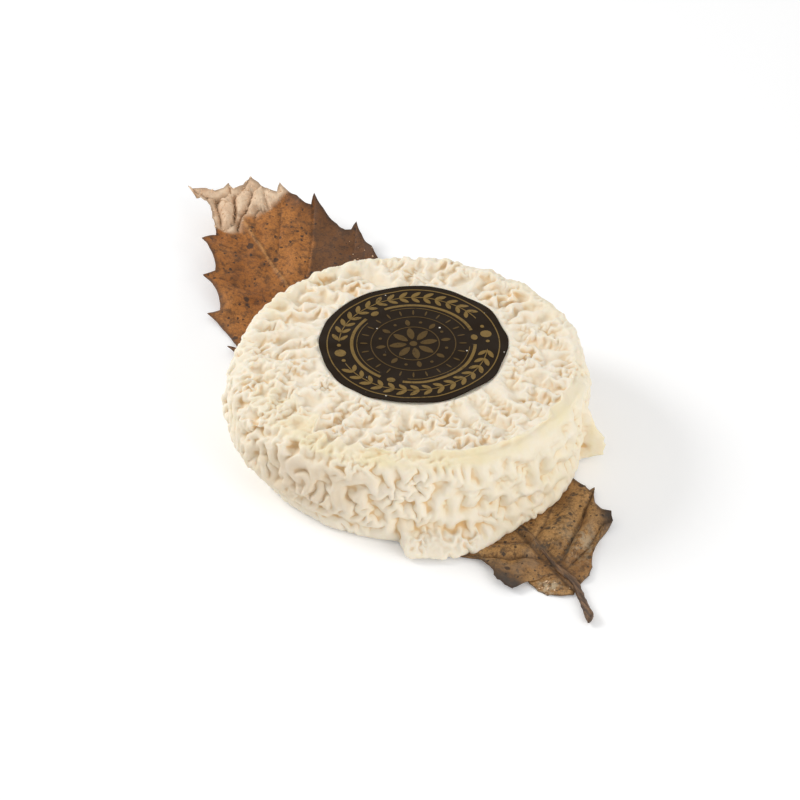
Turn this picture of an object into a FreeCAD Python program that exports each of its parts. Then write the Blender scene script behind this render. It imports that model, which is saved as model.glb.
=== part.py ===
import FreeCAD, Part
import math
import os

import Mesh

# A small goat's milk cheese, sold on a dry chestnut leaf, with a round paper label on its top.
# Millimetres, +Z up. All is worked out about the axis of the cheese, with +X to the right and +Y to
# the back, and moved at the end so that the origin is on the floor, under the middle of the whole.
# Compass angles are in degrees from +X, towards +Y.

# --- Cheese: the mean radii, and how far the hand-ladled form departs from them ----------------------
TOP_HEIGHT = 28.0          # floor to the flat under the label
BELLY_HEIGHT = 12.0        # floor to where the wall bulges most
RIM_RADIUS = 46.0          # axis to the crest of the rim
BELLY_RADIUS = 51.3        # axis to the bulge of the wall
BASE_RADIUS = 49.0         # axis to where the wall meets the floor
EDGE_ROUND = 1.8           # round between the wall and the underside
DISH_DEPTH = 0.7           # sag of the top between the label and the rim

# One value for every 30 degrees: the right, the back, the left, and round to the front.
RIM_UNEVEN = (2.3, 2.2, 1.2, 0.8, 1.6, 1.2, -1.2, -4.0, -4.2, -3.5, 0.8, 1.6)
BELLY_UNEVEN = (1.2, 0.4, -1.2, -1.4, -0.4, 0.2, 1.7, 1.4, -1.2, -2.0, 0.2, 1.2)
BASE_UNEVEN = (2.0, 1.0, 0.2, 0.0, 0.0, 0.0, -0.6, -2.0, -1.4, 0.2, 4.0, 4.0)
RIM_LIFT = (0.7, 0.5, 0.4, 0.2, 0.0, -0.5, -1.3, -1.2, -0.3, 0.6, 1.2, 1.2)
SHOULDER_POWER = (3.2, 3.2, 3.4, 3.2, 3.0, 2.6, 2.2, 2.1, 2.5, 3.0, 3.6, 3.4)

# Lumps of curd that show through the rind: how high, and how many round the wall.
LUMP_HEIGHT = 0.35
LUMPS_ROUND = 11
LUMP_SLANT = 9.0           # degrees that a lump leans for each millimetre of height

# Folds that notch the rim at the back right.
NOTCH_DEPTH = 1.1
NOTCH_ANGLE = 40.0
NOTCH_SPREAD = 34.0
NOTCH_PITCH = 15.0

# The foot: curd that ran out over the edge of the mould, in front. It starts with a step.
FOOT_FROM = -93.0
FOOT_STEP = 3.0
FOOT_FADE_FROM = -80.0
FOOT_FADE = 28.0
FOOT_REACH = 7.2
FOOT_HEIGHT = 5.5

# The flap: a fold of rind that stands out of the wall at the right.
FLAP_ANGLE = -12.0
FLAP_HALF_ANGLE = 2.6
FLAP_REACH = 8.0
FLAP_HEIGHT = 19.0

# --- Label -------------------------------------------------------------------------------------------
LABEL_RADIUS = 27.5
LABEL_THICKNESS = 0.25
LABEL_X = 1.7
LABEL_Y = 7.1
LABEL_MARGIN = 1.2         # flat of the cheese that shows round the label

# --- Leaf --------------------------------------------------------------------------------------------
BLADE_LENGTH = 207.0       # foot of the blade to its blunt end
BLADE_HALF_WIDTH = 30.5
BLADE_THICKNESS = 0.4
TIP_LENGTH = 9.0           # the thread-like tip beyond the blunt end, which turns to the left
TIP_HALF_WIDTH = 1.2
TIP_TURN = 60.0            # degrees that the tip is turned from the midrib
STALK_LENGTH = 13.5
STALK_RADIUS = 1.1
STALK_ASIDE = 3.6          # the stalk's free end bends this far to the left
MIDRIB_DEPTH = 0.6         # the midrib stands this far out of the blade's underside
MIDRIB_RADIUS = 0.9
LEAF_ANGLE = 121.7         # compass angle from the stalk to the tip
LEAF_FRONT = 82.6          # axis of the cheese to the foot of the blade, measured along the midrib
LEAF_ASIDE = 4.9           # the midrib passes this far from the axis, on the right
OPENING_RIGHT = 11.0       # how soon the right half opens out from the foot
OPENING_LEFT = 16.0        # and the left half
CLOSING_RIGHT = 61.0       # stretch over which the right half narrows to the blunt end
CLOSING_LEFT = 80.0        # and the left half
TOOTH_PITCH = 14.2         # between two side veins, each of which ends in a tooth
TOOTH_DEPTH = 3.4
TOOTH_HOOK = 0.14          # share of the pitch in which the edge falls back behind a tooth's point
VEIN_SWEEP_RIGHT = 0.50    # a side vein runs forward by this share of the way that it runs outward
VEIN_SWEEP_LEFT = 0.60
SWEEP_FULL_AT = 80.0       # the side veins near the foot run straight out, and are swept from here on
CURL_HEIGHT = 10.5         # how far the tip has curled up from the floor
CURL_LENGTH = 66.0         # stretch of the blade over which it curls
EDGE_TURN_UP = 3.2         # height of the free edges over the middle
PLEAT_HEIGHT = 0.8         # the blade swells between its side veins by this much
FLAT_BEYOND = 7.0          # the blade stays flat this far out of the cheese
FREE_AFTER = 16.0          # and takes this far to rise to its own waves
BED_MARGIN = 5.0           # width that the bed in the cheese's underside has beyond the blade's edge

# --- How finely the two uneven solids are faceted -----------------------------------------------------
SECTOR = 5.0                                            # degrees between two lines of the rind
FLAT_SHARES = (0.5, 1.0)                                # rings of the flat under the label
TOP_SHARES = (0.2, 0.4, 0.6, 0.8, 0.92)                 # rings from there to the rim
WALL_SHARES = (1.0, 0.86, 0.72, 0.56, 0.4, 0.2, 0.0)    # rings from the rim to the belly
SKIRT_SHARES = (0.75, 0.5, 0.25, 0.0)                   # rings from the belly to the floor
UNDER_SHARES = (1.0, 0.9, 0.8, 0.7, 0.6, 0.5, 0.35, 0.2)
FLAP_LINES = (-1.0, -0.4, 0.0, 0.4, 1.0)
SIDE_SHARES = (0.8, 0.58, 0.36, 0.14)                   # lines of the blade between edge and midrib
STALK_SHARES = (1.0, 0.85, 0.6, 0.3)
FOOT_ROOTS = (0.3, 1.2)                                 # first sections of the blade
TOOTH_PHASES = (TOOTH_HOOK, 0.36, 0.6, 0.82, 1.0)       # sections of the blade for each tooth
TIP_SHARES = (0.0, 0.3, 0.65, 1.0)


def smooth(value):
    """Ease from 0 to 1, level at both ends."""
    value = min(max(value, 0.0), 1.0)
    return value * value * (3.0 - 2.0 * value)


def mix(start, end, share):
    return start + (end - start) * share


def around(values, angle):
    """Smooth value at a compass angle, from values at equal steps round the circle."""
    place = (angle % 360.0) / 360.0 * len(values)
    first = int(place) % len(values)
    share = place - int(place)
    before, here, after, beyond = (values[(first + step) % len(values)] for step in (-1, 0, 1, 2))
    bend = (2.0 * before - 5.0 * here + 4.0 * after - beyond) * share ** 2
    twist = (3.0 * here - before - 3.0 * after + beyond) * share ** 3
    return here + 0.5 * ((after - before) * share + bend + twist)


def on_circle(radius, angle, height, centre=(0.0, 0.0)):
    turn = math.radians(angle)
    return (centre[0] + radius * math.cos(turn), centre[1] + radius * math.sin(turn), height)


def middle(ring):
    return tuple(sum(point[axis] for point in ring) / len(ring) for axis in range(3))


# --- Faceted solids ----------------------------------------------------------------------------------
def skin(rings):
    """Triangles between closed rings of equally many points."""
    triangles = []
    for upper, lower in zip(rings, rings[1:]):
        for index in range(len(upper)):
            after = (index + 1) % len(upper)
            triangles.append((upper[index], lower[index], lower[after]))
            triangles.append((upper[index], lower[after], upper[after]))
    return triangles


def fan(centre, ring):
    """Triangles from a centre point to a closed ring, which close the first ring of a skin."""
    return [(centre, ring[index - 1], ring[index]) for index in range(len(ring))]


def closed_solid(first_centre, rings, last_centre):
    """Solid with one flat face for each triangle of the rings and of the fans that close their ends."""
    last_ring = rings[-1][::-1]
    triangles = fan(first_centre, rings[0]) + skin(rings) + fan(last_centre, last_ring)
    mesh = Mesh.Mesh([[FreeCAD.Vector(*corner) for corner in triangle] for triangle in triangles])
    shell = Part.Shape()
    shell.makeShapeFromMesh(mesh.Topology, 0.001)
    return Part.makeSolid(shell)


# --- Leaf --------------------------------------------------------------------------------------------
LEAF_ALONG = on_circle(1.0, LEAF_ANGLE, 0.0)
LEAF_ACROSS = on_circle(1.0, LEAF_ANGLE - 90.0, 0.0)
LEAF_TOP = MIDRIB_DEPTH + BLADE_THICKNESS      # height of the blade's upper face where it lies flat
FLAT_RADIUS = max(BELLY_RADIUS, BASE_RADIUS) + FLAT_BEYOND


def leaf_to_plan(along, across):
    """Plan place of a point given from the foot of the blade and from the midrib."""
    forward = along - LEAF_FRONT
    aside = across + LEAF_ASIDE
    return tuple(forward * LEAF_ALONG[axis] + aside * LEAF_ACROSS[axis] for axis in (0, 1))


def plan_to_across(x, y):
    return x * LEAF_ACROSS[0] + y * LEAF_ACROSS[1] - LEAF_ASIDE


def blade_half_width(root, side):
    """Half width of the blade, without its teeth, for a side vein that starts at this place."""
    opening_length = OPENING_RIGHT if side > 0 else OPENING_LEFT
    closing_length = CLOSING_RIGHT if side > 0 else CLOSING_LEFT
    opening = 1.0 - math.exp(-root / opening_length)
    share = min(max(1.0 - (BLADE_LENGTH - root) / closing_length, 0.0), 1.0)
    closing = (1.0 - share ** 1.8) ** 0.75 if side > 0 else 1.0 - share ** 1.5
    beyond = max(root - BLADE_LENGTH, 0.0) / TIP_LENGTH
    return max(BLADE_HALF_WIDTH * opening * closing, TIP_HALF_WIDTH * (1.0 - 0.6 * beyond))


def behind_teeth(phase):
    """How far the edge lies behind the line of the points: none at a point, most just after it."""
    if phase < TOOTH_HOOK:
        return TOOTH_DEPTH * smooth(phase / TOOTH_HOOK)
    return TOOTH_DEPTH * (1.0 - smooth((phase - TOOTH_HOOK) / (1.0 - TOOTH_HOOK)) ** 0.8)


def leaf_point(root, side):
    """Middle of the blade's thickness, from a side vein's root and the share of its way to the edge."""
    width = blade_half_width(root, side)
    fullness = smooth(width / (0.6 * BLADE_HALF_WIDTH))
    tooth_count = root / TOOTH_PITCH
    phase = tooth_count % 1.0
    sweep = VEIN_SWEEP_RIGHT if side > 0 else VEIN_SWEEP_LEFT
    beyond = max(root - BLADE_LENGTH, 0.0)
    turn = math.radians(TIP_TURN)
    out = side * (width - behind_teeth(phase) * fullness)
    ahead = sweep * smooth(root / SWEEP_FULL_AT) * abs(side) ** 1.3 * width
    along = root - beyond + ahead + beyond * math.cos(turn)
    x, y = leaf_to_plan(along, out - beyond * math.sin(turn))
    curl = CURL_HEIGHT * smooth(1.0 - (BLADE_LENGTH - along) / CURL_LENGTH)
    swell = PLEAT_HEIGHT * math.sin(math.pi * phase) * math.sin(math.pi * abs(side))
    turned_up = EDGE_TURN_UP * abs(side) ** 2.2 * (0.6 + 0.4 * math.sin(1.7 * tooth_count + side))
    free = smooth((math.hypot(x, y) - FLAT_RADIUS) / FREE_AFTER)
    flat_height = MIDRIB_DEPTH + 0.5 * BLADE_THICKNESS
    return x, y, flat_height + curl + free * (swell + turned_up * fullness)


def blade_section(root):
    """Closed section of the blade along one pair of side veins: over the top, back underneath."""
    half = 0.5 * BLADE_THICKNESS
    sides = [1.0, *SIDE_SHARES, 0.0, *(-share for share in reversed(SIDE_SHARES)), -1.0]
    upper = []
    lower = []
    for side in sides:
        x, y, height = leaf_point(root, side)
        from_midrib = abs(side) * blade_half_width(root, side)
        rib = MIDRIB_DEPTH * (1.0 - smooth(from_midrib / (2.0 * MIDRIB_RADIUS)))
        upper.append((x, y, height + half))
        lower.append((x, y, height - half - rib))
    return upper + lower[::-1]


def stalk_section(share, count):
    """Section of the stalk, from the foot of the blade (share 0) to its free end, which is thicker."""
    x, y = leaf_to_plan(-STALK_LENGTH * share, -STALK_ASIDE * share ** 1.5)
    radius = STALK_RADIUS * mix(1.0, 1.25, smooth(4.0 * share - 3.0))
    last = count // 2 - 1
    points = []
    for index in range(count):
        over = index <= last
        turn = math.pi * (0.5 - (index if over else count - 1 - index) / last)
        out = radius * math.sin(turn)
        up = radius * max(math.cos(turn), 0.25)
        points.append((x + out * LEAF_ACROSS[0], y + out * LEAF_ACROSS[1], radius + (up if over else -up)))
    return points


def make_leaf():
    roots = list(FOOT_ROOTS)
    for number in range(int(BLADE_LENGTH / TOOTH_PITCH) + 1):
        roots += [TOOTH_PITCH * (number + phase) for phase in TOOTH_PHASES]
    roots = [root for root in roots if root < BLADE_LENGTH - FOOT_ROOTS[1]]
    roots += [BLADE_LENGTH + TIP_LENGTH * share for share in TIP_SHARES]
    blade = [blade_section(root) for root in roots]
    rings = [stalk_section(share, len(blade[0])) for share in STALK_SHARES] + blade
    return closed_solid(middle(rings[0]), rings, middle(rings[-1]))


# --- Cheese ------------------------------------------------------------------------------------------
def foot_reach(angle, height):
    rise = smooth((angle - FOOT_FROM) / FOOT_STEP)
    fall = 1.0 - smooth((angle - FOOT_FADE_FROM) / FOOT_FADE)
    return FOOT_REACH * rise * fall * (1.0 - smooth((height - EDGE_ROUND) / FOOT_HEIGHT))


def flap_reach(angle, height):
    """The flap is widest low down, and thin against its height."""
    across = max(1.0 - abs(angle - FLAP_ANGLE) / FLAP_HALF_ANGLE, 0.0)
    level = height / FLAP_HEIGHT
    outline = smooth((1.0 - level) / 0.75) * mix(0.72, 1.0, smooth(level / 0.12))
    return FLAP_REACH * across * outline


def lump(angle, height):
    lean = math.radians(angle + LUMP_SLANT * height)
    first = math.sin(LUMPS_ROUND * math.radians(angle) + 0.4 * height)
    second = math.sin((LUMPS_ROUND + 6) * lean / 1.7 * math.cos(math.radians(angle)) + 1.0)
    return LUMP_HEIGHT * (first + 0.8 * second)


def notch(angle):
    """How far the rim is drawn in by its folds."""
    near = math.exp(-((angle - NOTCH_ANGLE) / NOTCH_SPREAD) ** 2)
    return NOTCH_DEPTH * near * math.sin(math.pi * angle / NOTCH_PITCH) ** 2


def rim_radius(angle):
    return RIM_RADIUS + around(RIM_UNEVEN, angle) - notch(angle)


def belly_radius(angle):
    return BELLY_RADIUS + around(BELLY_UNEVEN, angle)


def top_point(angle, share):
    """Top between the flat under the label (share 0) and the crest of the rim (share 1)."""
    inner = on_circle(LABEL_RADIUS + LABEL_MARGIN, angle, TOP_HEIGHT, (LABEL_X, LABEL_Y))
    outer = on_circle(rim_radius(angle), angle, TOP_HEIGHT)
    lift = (around(RIM_LIFT, angle) - 0.5 * notch(angle)) * share ** 3
    sag = (DISH_DEPTH + lump(angle, 0.0)) * math.sin(math.pi * share)
    return (mix(inner[0], outer[0], share), mix(inner[1], outer[1], share), TOP_HEIGHT + lift - sag)


def wall_point(angle, share):
    """Wall between the belly (share 0) and the crest of the rim (share 1)."""
    power = 2.0 / around(SHOULDER_POWER, angle)
    turn = 0.5 * math.pi * share
    crest = TOP_HEIGHT + around(RIM_LIFT, angle) - 0.5 * notch(angle)
    height = mix(BELLY_HEIGHT, crest, math.sin(turn) ** power)
    radius = mix(rim_radius(angle), belly_radius(angle), max(math.cos(turn), 0.0) ** power)
    radius += lump(angle, height) * math.cos(turn)
    return on_circle(radius + flap_reach(angle, height), angle, height)


def skirt_point(angle, share):
    """Wall between the floor (share 0) and the belly (share 1), with the foot and the flap on it."""
    height = mix(EDGE_ROUND, BELLY_HEIGHT, share)
    radius = mix(BASE_RADIUS + around(BASE_UNEVEN, angle), belly_radius(angle), smooth(share))
    radius += lump(angle, height) * smooth(2.0 * share) + foot_reach(angle, height)
    return on_circle(radius + flap_reach(angle, height), angle, height)


def underside_height(x, y):
    """The underside lies on the floor, and on the blade where the leaf passes under it."""
    beyond = abs(plan_to_across(x, y)) - BLADE_HALF_WIDTH - BED_MARGIN
    return LEAF_TOP if beyond < 0.0 else 0.0


def underside_point(angle, share):
    """Underside, from its middle (share 0) to its edge (share 1)."""
    edge = BASE_RADIUS + around(BASE_UNEVEN, angle) + foot_reach(angle, 0.0) + flap_reach(angle, 0.0)
    x, y, _ = on_circle((edge - EDGE_ROUND) * share, angle, 0.0)
    return (x, y, underside_height(x, y))


def make_cheese():
    angles = {SECTOR * step - 180.0 for step in range(int(360.0 / SECTOR))}
    angles |= {FLAP_ANGLE + FLAP_HALF_ANGLE * share for share in FLAP_LINES}
    angles |= {FOOT_FROM, FOOT_FROM + 0.5 * FOOT_STEP}
    angles = sorted(angles)
    centre = (LABEL_X, LABEL_Y)
    flat = LABEL_RADIUS + LABEL_MARGIN
    rings = [[on_circle(flat * share, angle, TOP_HEIGHT, centre) for angle in angles]
             for share in FLAT_SHARES]
    for place, shares in ((top_point, TOP_SHARES), (wall_point, WALL_SHARES),
                          (skirt_point, SKIRT_SHARES), (underside_point, UNDER_SHARES)):
        rings += [[place(angle, share) for angle in angles] for share in shares]
    return closed_solid((*centre, TOP_HEIGHT), rings, (0.0, 0.0, underside_height(0.0, 0.0)))


def make_label():
    return Part.makeCylinder(LABEL_RADIUS, LABEL_THICKNESS, FreeCAD.Vector(LABEL_X, LABEL_Y, TOP_HEIGHT))


def main():
    pieces = {"cheese": make_cheese(), "label": make_label(), "leaf": make_leaf()}
    whole = FreeCAD.BoundBox()
    for shape in pieces.values():
        whole.add(shape.BoundBox)
    to_origin = FreeCAD.Vector(-whole.Center.x, -whole.Center.y, -whole.ZMin)
    os.makedirs("parts", exist_ok=True)
    for name, shape in pieces.items():
        shape.translate(to_origin)
        shape.exportStep(f"parts/{name}.step")


main()
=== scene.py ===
"""Looks of a small goat's milk cheese with a wrinkled rind, on its dry chestnut leaf, with a paper label.

Lengths in the settings are in metres; the forms are worked out in millimetres about the cheese's axis.
"""

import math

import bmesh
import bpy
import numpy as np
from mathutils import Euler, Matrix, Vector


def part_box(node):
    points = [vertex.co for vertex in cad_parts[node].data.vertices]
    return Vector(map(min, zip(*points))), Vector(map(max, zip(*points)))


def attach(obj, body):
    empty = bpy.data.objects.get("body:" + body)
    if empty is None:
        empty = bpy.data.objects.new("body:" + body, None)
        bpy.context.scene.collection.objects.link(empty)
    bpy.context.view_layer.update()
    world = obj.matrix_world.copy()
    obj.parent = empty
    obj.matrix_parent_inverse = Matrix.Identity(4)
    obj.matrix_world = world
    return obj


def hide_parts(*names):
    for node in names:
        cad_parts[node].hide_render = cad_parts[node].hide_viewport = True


bl_info = {
    "name": "Goat Cheese on a Leaf",
    "version": (1, 0, 0),
    "blender": (4, 5, 0),
    "location": "3D View > Sidebar > Cheese",
    "description": "Wrinkled rind, paper label and dry leaf over the packed solids, and a plain stage",
    "category": "Object",
}

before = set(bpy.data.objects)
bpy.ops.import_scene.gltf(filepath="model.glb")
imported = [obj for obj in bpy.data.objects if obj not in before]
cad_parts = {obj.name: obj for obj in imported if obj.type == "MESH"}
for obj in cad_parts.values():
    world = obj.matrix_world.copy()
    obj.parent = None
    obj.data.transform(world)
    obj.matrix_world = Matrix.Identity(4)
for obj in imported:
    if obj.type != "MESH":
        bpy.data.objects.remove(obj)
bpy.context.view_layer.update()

MM = 0.001
BODY = "root"

# Places that the solids share with this file, in millimetres. The cheese's axis is found from the label,
# and the leaf is laid from that axis.
LABEL_FROM_AXIS = np.array((1.7, 7.1, 0.0))
LABEL_LOW, LABEL_HIGH = (np.array(corner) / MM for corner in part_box("label"))
LABEL_MIDDLE = 0.5 * (LABEL_LOW + LABEL_HIGH)
LABEL_RADIUS = 0.5 * (LABEL_HIGH[0] - LABEL_LOW[0])
AXIS = np.array((LABEL_MIDDLE[0], LABEL_MIDDLE[1], 0.0)) - LABEL_FROM_AXIS
TOP_HEIGHT = LABEL_LOW[2]

LEAF_ANGLE = math.radians(121.7)
LEAF_ALONG = np.array((math.cos(LEAF_ANGLE), math.sin(LEAF_ANGLE)))
LEAF_ACROSS = np.array((LEAF_ALONG[1], -LEAF_ALONG[0]))
LEAF_FRONT = 82.6          # axis of the cheese to the foot of the blade, measured along the midrib
LEAF_ASIDE = 4.9           # the midrib passes this far from the axis
LEAF_TOP = 1.0             # the cheese lies on the blade at this height
BLADE_HALF_WIDTH = 30.5
BLADE_LENGTH = 207.0
BLADE_LEVEL = 0.78         # upper face of the blade where it lies flat
CURL_HEIGHT = 10.5         # rise of the far end, over this last stretch:
CURL_LENGTH = 66.0
STALK_LENGTH = 13.3
FOLD_VEIN = 11             # side vein on the right, counted from the foot, where the painted shade on the right of the upper blade ends


def thorns(depth, *tips):
    """Straight thorns on the blade's edge: the tip of each, and the foot behind it."""
    return tuple(point for along, out in tips for point in ((along, out, 1), (along, out - depth)))


# Edges of the blade: how far along the midrib from its foot, and how far out from it. A third value marks
# a thorn, where a side vein ends. The cheese hides the regular thorns in the middle.
RIGHT_EDGE = (
    (0.0, 0.4), (1.5, 1.8), (2.7, 5.5), (5.0, 8.1), (8.0, 10.1), (10.5, 12.7), (13.0, 16.3), (17.3, 20.2),
    (16.5, 21.6), (17.0, 23.2, 1), (19.5, 24.5), (22.0, 23.0), (25.0, 23.3), (28.5, 24.9), (32.4, 27.6, 1),
    (32.0, 25.6), (35.0, 26.2), (39.5, 25.0), *thorns(2.0, (48.0, 29.0)), *thorns(2.5, (62.0, 31.0)),
    *thorns(3.0, (76.0, 32.5), (91.0, 33.0), (106.0, 33.0), (121.0, 33.0)), *thorns(2.5, (136.0, 32.5)),
    (154.0, 33.5, 1), (153.5, 30.5), (162.0, 31.0), (168.0, 31.0), (173.2, 32.2, 1), (171.5, 29.2),
    (172.3, 27.4), (176.0, 26.6), (181.5, 25.4), (188.4, 25.6, 1), (185.0, 22.8), (186.7, 21.2),
    (190.5, 20.4), (195.3, 18.9), (198.6, 18.8, 1), (195.6, 16.0), (199.0, 14.2), (202.2, 13.1),
    (205.6, 11.8, 1), (203.8, 8.2), (204.0, 4.6), (206.8, 4.6, 1), (205.3, 1.8), (205.6, -1.1),
    (208.5, -2.6), (212.3, -6.8))
LEFT_EDGE = (
    (-0.4, 1.4), (-1.1, 2.6), (0.2, 5.9), (2.7, 8.7), (5.6, 10.0), (8.8, 10.7), (11.5, 10.5, 1), (10.3, 13.2),
    (8.7, 16.2), (10.7, 17.6), (13.6, 18.5), (15.7, 18.1), (17.8, 17.0), (21.0, 17.0), (24.2, 17.7),
    *thorns(2.0, (30.0, 22.5), (44.0, 27.0)), *thorns(2.5, (58.0, 30.0)),
    *thorns(3.0, (73.0, 31.5), (88.0, 32.0), (102.0, 32.5), (116.0, 32.5)),
    (130.0, 32.0, 1), (129.5, 29.5), (138.7, 30.6), (144.3, 31.2, 1), (142.3, 28.8), (145.4, 28.2),
    (153.0, 27.7), (161.8, 28.6, 1), (160.2, 25.0), (163.0, 23.5), (168.0, 22.3), (174.4, 22.9, 1),
    (173.5, 19.1), (177.0, 17.2), (182.0, 16.2), (187.4, 16.0, 1), (188.0, 10.6), (191.7, 8.9),
    (194.7, 8.2), (197.7, 6.7), (202.0, 5.5), (207.6, 6.0, 1), (212.4, 7.2))


# --- Settings ------------------------------------------------------------------------------------------
def length_setting(name, description, default):
    return bpy.props.FloatProperty(name=name, description=description, default=default, min=0.0,
                                   precision=5, unit="LENGTH")


def share_setting(name, description, default, high=1.0):
    return bpy.props.FloatProperty(name=name, description=description, default=default, min=0.0, max=high,
                                   subtype="FACTOR")


def count_setting(name, description, default, low=0):
    return bpy.props.IntProperty(name=name, description=description, default=default, min=low)


def power_setting(name, description, default):
    return bpy.props.FloatProperty(name=name, description=description, default=default, min=0.0,
                                   unit="POWER")


def colour_setting(name, description, default):
    return bpy.props.FloatVectorProperty(name=name, description=description, default=default, min=0.0,
                                         max=1.0, size=3, subtype="COLOR")


class RindSettings(bpy.types.PropertyGroup):
    """Sizes and colours of the rind."""
    mesh_size: length_setting("Mesh size", "Distance between two points of the finished rind's mesh", 0.00043)
    swell_pitch: length_setting("Swell pitch", "Mean distance between two broad swellings", 0.0082)
    swell_growth: share_setting("Swell growth", "Growth of the skin in its broad swellings", 0.15)
    ridge_pitch: length_setting("Ridge pitch", "Mean distance between two ridges", 0.0049)
    ridge_growth: share_setting("Ridge growth", "Growth of the skin in its ridges", 0.22)
    crinkle_pitch: length_setting("Crinkle pitch", "Mean distance between two fine crinkles", 0.0021)
    crinkle_growth: share_setting("Crinkle growth", "Growth of the skin in its fine crinkles", 0.17)
    plumpness: length_setting("Plumpness", "How far the ridges have swollen", 0.00034)
    seed: count_setting("Seed", "Choice of the wrinkles' pattern", 7)
    triangles: count_setting("Triangles", "Triangles that the finished rind is thinned to", 190000, 1000)
    ridge_colour: colour_setting("Ridges", "Dry bloom on the ridges", (0.91, 0.825, 0.685))
    # Partly the rind's own warmer colour between the ridges, partly painted shade in the hollows.
    valley_tone_and_shade_colour: colour_setting("Valleys", "Rind between the ridges", (0.86, 0.74, 0.55))
    # Partly the moist curd's own colour, partly painted shade deep in the creases.
    crease_curd_and_shade_colour: colour_setting("Creases", "Moist curd deep in the creases", (0.74, 0.49, 0.22))
    butter_colour: colour_setting("Bare rind", "Smooth rind without bloom", (0.88, 0.77, 0.52))
    # Painted shade: the darker tan that the wall at the front left is painted with, as if it lay in shade.
    front_left_shade_colour: colour_setting("Tan", "Older rind on the wall at the front left", (0.70, 0.57, 0.42))


class LabelSettings(bpy.types.PropertyGroup):
    """Sizes and colours of the label."""
    wave: length_setting("Wave", "How far the paper lifts and sags over the rind under it", 0.0005)
    print_height: length_setting("Print height", "Thickness of the gold print", 0.00006)
    thickness: length_setting("Thickness", "Thickness of the paper", 0.0002)
    wreath_leaves: count_setting("Wreath leaves", "Pairs of leaves on each half wreath", 15, 3)
    petals: count_setting("Petals", "Number of petals in the middle", 8, 3)
    paper_colour: colour_setting("Paper", "Coated dark paper", (0.0150, 0.0092, 0.0050))
    gold_colour: colour_setting("Gold", "Dull gold print", (0.215, 0.135, 0.038))


class LeafSettings(bpy.types.PropertyGroup):
    """Sizes and colours of the leaf."""
    thickness: length_setting("Thickness", "Thickness of the blade", 0.00035)
    seed: count_setting("Seed", "Choice of the leaf's irregularities", 11)
    mould_grains: count_setting("Mould grains", "Grains for each square metre at a growth of 1", 3600000)
    grain_size: length_setting("Grain size", "Radius of the largest grain of mould", 0.00036)
    warm_colour: colour_setting("Warm brown", "Upper part of the blade", (0.48, 0.158, 0.022))
    dull_colour: colour_setting("Dull brown", "Lower part of the blade", (0.42, 0.195, 0.054))
    # Also laid as painted shade over the right part of the upper blade.
    dark_colour: colour_setting("Dark brown", "Rotted parts, veins and spots", (0.045, 0.022, 0.011))
    pale_colour: colour_setting("Pale", "Dried, bleached parts", (0.62, 0.38, 0.15))
    mould_colour: colour_setting("Mould", "White mould", (0.88, 0.67, 0.47))


class StageSettings(bpy.types.PropertyGroup):
    """Floor, lamps and camera."""
    floor_colour: colour_setting("Floor", "Plain pale floor", (0.92, 0.92, 0.92))
    key_level: power_setting("Key lamp", "Watts of the lamp at the back left", 4.3)
    fill_level: power_setting("Fill lamp", "Watts of the lamp in front", 4.6)
    sky_level: share_setting("Sky", "Level of the light from all round", 0.59, 2.0)
    glow: share_setting("Glow", "Light that the floor adds where the camera sees it", 0.16)


# --- Small helpers -------------------------------------------------------------------------------------
def smooth(value):
    """Ease from 0 to 1, level at both ends."""
    value = np.clip(value, 0.0, 1.0)
    return value * value * (3.0 - 2.0 * value)


def mix(start, end, share):
    return start + (end - start) * share


def bell(value, width):
    """1 at 0, falling off alike on both sides."""
    return np.exp(-(value / width) ** 2)


def near_angle(angle, middle, spread):
    """Bell round a compass angle, in degrees."""
    return bell((angle - middle + 180.0) % 360.0 - 180.0, spread)


def heading(turn):
    """Level directions at compass angles in radians."""
    return np.stack([np.cos(turn), np.sin(turn), np.zeros_like(turn)], axis=1)


def wave_noise(points, wavelength, seed, count=28):
    """Even, smooth noise about 0: a sum of plane waves in all directions."""
    random = np.random.default_rng(seed)
    directions = random.normal(size=(count, 3))
    directions /= np.linalg.norm(directions, axis=1)[:, None]
    lengths = wavelength * random.uniform(0.7, 1.4, count)
    phases = random.uniform(0.0, 2.0 * math.pi, count)
    total = np.zeros(len(points))
    for direction, length, phase in zip(directions, lengths, phases):
        total += np.cos(points @ (direction * 2.0 * math.pi / length) + phase)
    return total / math.sqrt(0.5 * count)


def add_object(name, mesh):
    obj = bpy.data.objects.new(name, mesh)
    bpy.context.scene.collection.objects.link(obj)
    return obj


def evaluated_mesh(obj):
    """Plain mesh of an object with its modifiers applied."""
    graph = bpy.context.evaluated_depsgraph_get()
    return bpy.data.meshes.new_from_object(obj.evaluated_get(graph), depsgraph=graph)


def ring_faces(rings, around, first=0):
    """Quads between rings of points that follow one another."""
    faces = []
    for ring in range(rings - 1):
        start = first + ring * around
        for number in range(around):
            after = (number + 1) % around
            faces.append((start + number, start + around + number, start + around + after, start + after))
    return faces


def mesh_from_arrays(name, points, faces, metres=MM):
    mesh = bpy.data.meshes.new(name)
    mesh.from_pydata((points * metres).tolist(), [], faces)
    mesh.shade_smooth()
    return mesh


def set_attribute(mesh, name, values):
    attribute = mesh.attributes.new(name, "FLOAT", "POINT")
    attribute.data.foreach_set("value", np.asarray(values, np.float32))


def finish_piece(obj, slot, material, *replaced):
    """Give a finished piece its material and its body, and hide the solids it replaces."""
    obj.data.materials.clear()
    obj.data.materials.append(material)
    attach(obj, BODY)
    if replaced:
        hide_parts(*replaced)


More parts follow.
